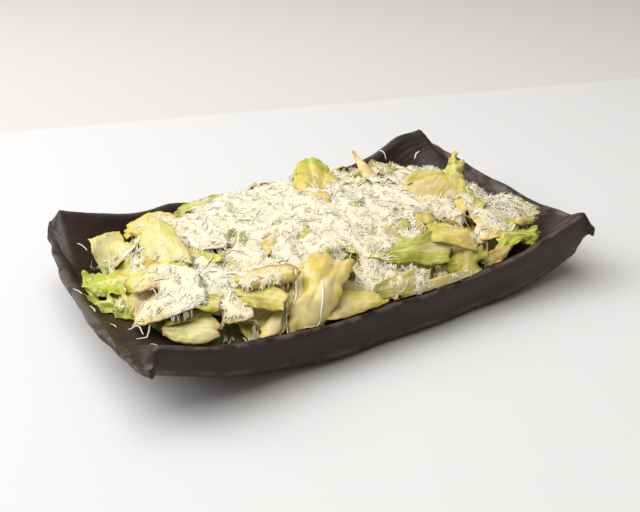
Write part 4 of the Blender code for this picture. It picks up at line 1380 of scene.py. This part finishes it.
class LeafSettings(bpy.types.PropertyGroup):
    """Lettuce and the core below it."""

    leaf_cell: length_setting("Leaf step", "Spacing of points on the leaves that show", 0.0011)
    filler_cell: length_setting("Filler step", "Spacing of points on scattered leaves", 0.0016)
    filler_leaves: IntProperty(name="Scattered leaves", description="How many leaves fill the heap", default=100)
    leaf_seed: IntProperty(name="Seed", description="Number that the scattered leaves follow", default=5)
    translucency: FloatProperty(name="Translucency", description="Share of light that passes into a leaf",
                                default=0.35, min=0.0, max=1.0, subtype="FACTOR")
    core_depth: length_setting("Core depth", "How far the core's top lies below the heap's", 0.010)
    core_share: FloatProperty(name="Core share", description="Core's outline as a share of the heap's",
                              default=0.93, min=0.5, max=1.0, subtype="FACTOR")


class CheeseSettings(bpy.types.PropertyGroup):
    """Grated cheese."""

    cheese: colour_setting("Cheese", "Colour of the grated cheese", (0.93, 0.89, 0.79))
    # Creamy cheese: the richer tone of some threads, and painted shade on the mass under them.
    cheese_cream_and_shade: colour_setting("Creamy cheese", "Colour where it is richer", (0.75, 0.66, 0.40))
    layer_depth: length_setting("Layer depth", "Greatest depth of the crumbly mass", 0.0016)
    threads: IntProperty(name="Threads", description="Number of long threads", default=5600)
    shreds: IntProperty(name="Shreds", description="Number of short shreds", default=13000)
    cheese_seed: IntProperty(name="Seed", description="Number that the threads follow", default=3)
    flecks: IntProperty(name="Pepper flecks", description="Number of dark specks", default=45)


class StageSettings(bpy.types.PropertyGroup):
    """Table, light and camera."""

    table: colour_setting("Table", "Colour of the table", (0.69, 0.685, 0.68))
    backdrop: colour_setting("Backdrop", "Colour beyond the table's edge", (0.66, 0.63, 0.61))
    room: colour_setting("Room", "Colour of the light from all round", (1.0, 0.94, 0.89))
    room_strength: FloatProperty(name="Room light", description="Strength of the light from all round", default=0.27)
    key_power: FloatProperty(name="Key", description="Power of the softbox overhead", default=31.0, unit="POWER")
    window_power: FloatProperty(name="Window", description="Power of the wide light at the left", default=26.5,
                                unit="POWER")
    light_distance: length_setting("Light distance", "How far the lights stand from the dish", 1.9)
    table_edge: length_setting("Table edge", "Distance of the table's far edge", 0.3495)
    table_edge_turn: FloatProperty(name="Edge turn", description="Turn of the table's edge, in degrees", default=-16.0)
    camera_azimuth: FloatProperty(name="Azimuth", description="Way round the dish, in degrees", default=-30.82)
    camera_elevation: FloatProperty(name="Elevation", description="Height over the horizon, in degrees",
                                    default=29.15)
    camera_distance: length_setting("Distance", "Camera to target", 0.582)
    camera_lens: FloatProperty(name="Lens", description="Focal length in millimetres", default=45.65)
    camera_target: FloatVectorProperty(name="Target", description="Place that the camera looks at", size=3,
                                       default=(0.0155, 0.0255, 0.0), subtype="TRANSLATION")


# ---- operators --------------------------------------------------------------------------------
top_surface = TopSurface()


class SALAD_OT_make_dish(bpy.types.Operator):
    """Make the stoneware dish"""

    bl_idname = "salad.make_dish"
    bl_label = "Make Dish"

    def execute(self, context):
        top_surface.lay_piece(make_dish(context.scene.salad_dish))
        return {"FINISHED"}


class SALAD_OT_make_bed(bpy.types.Operator):
    """Make the shaded core of the heap"""

    bl_idname = "salad.make_bed"
    bl_label = "Make Core"

    def execute(self, context):
        make_bed(context.scene.salad_leaves)
        return {"FINISHED"}


class SALAD_OT_make_leaves(bpy.types.Operator):
    """Make all lettuce leaves"""

    bl_idname = "salad.make_leaves"
    bl_label = "Make Leaves"

    def execute(self, context):
        make_leaves(context.scene.salad_leaves, top_surface)
        return {"FINISHED"}


class SALAD_OT_make_cheese(bpy.types.Operator):
    """Sprinkle the grated cheese"""

    bl_idname = "salad.make_cheese"
    bl_label = "Sprinkle Cheese"

    def execute(self, context):
        make_cheese(context.scene.salad_cheese, top_surface)
        return {"FINISHED"}


class SALAD_OT_make_pepper(bpy.types.Operator):
    """Scatter ground pepper"""

    bl_idname = "salad.make_pepper"
    bl_label = "Scatter Pepper"

    def execute(self, context):
        make_pepper(context.scene.salad_cheese, top_surface)
        return {"FINISHED"}


class SALAD_OT_make_stage(bpy.types.Operator):
    """Make the table, the lights and the camera"""

    bl_idname = "salad.make_stage"
    bl_label = "Make Stage"

    def execute(self, context):
        make_stage(context.scene.salad_stage)
        return {"FINISHED"}


OPERATORS = (SALAD_OT_make_dish, SALAD_OT_make_bed, SALAD_OT_make_leaves, SALAD_OT_make_cheese,
             SALAD_OT_make_pepper, SALAD_OT_make_stage)
SETTINGS = {
    "salad_dish": DishSettings,
    "salad_leaves": LeafSettings,
    "salad_cheese": CheeseSettings,
    "salad_stage": StageSettings,
}


class SALAD_PT_panel(bpy.types.Panel):
    """Lists the operators and settings"""

    bl_label = "Caesar Salad"
    bl_idname = "SALAD_PT_panel"
    bl_space_type = "VIEW_3D"
    bl_region_type = "UI"
    bl_category = "Salad"

    def draw(self, context):
        for operator in OPERATORS:
            self.layout.operator(operator.bl_idname)
        for name, group in SETTINGS.items():
            box = self.layout.box()
            for key in group.__annotations__:
                box.prop(getattr(context.scene, name), key)


def register():
    for group in SETTINGS.values():
        bpy.utils.register_class(group)
    for name, group in SETTINGS.items():
        setattr(bpy.types.Scene, name, PointerProperty(type=group))
    for operator in OPERATORS:
        bpy.utils.register_class(operator)
    bpy.utils.register_class(SALAD_PT_panel)


def unregister():
    bpy.utils.unregister_class(SALAD_PT_panel)
    for operator in reversed(OPERATORS):
        bpy.utils.unregister_class(operator)
    for name, group in SETTINGS.items():
        delattr(bpy.types.Scene, name)
        bpy.utils.unregister_class(group)


def main():
    register()
    bpy.ops.salad.make_dish()
    bpy.ops.salad.make_bed()
    bpy.ops.salad.make_leaves()
    bpy.ops.salad.make_cheese()
    bpy.ops.salad.make_pepper()
    bpy.ops.salad.make_stage()


if __name__ == "__main__":
    main()
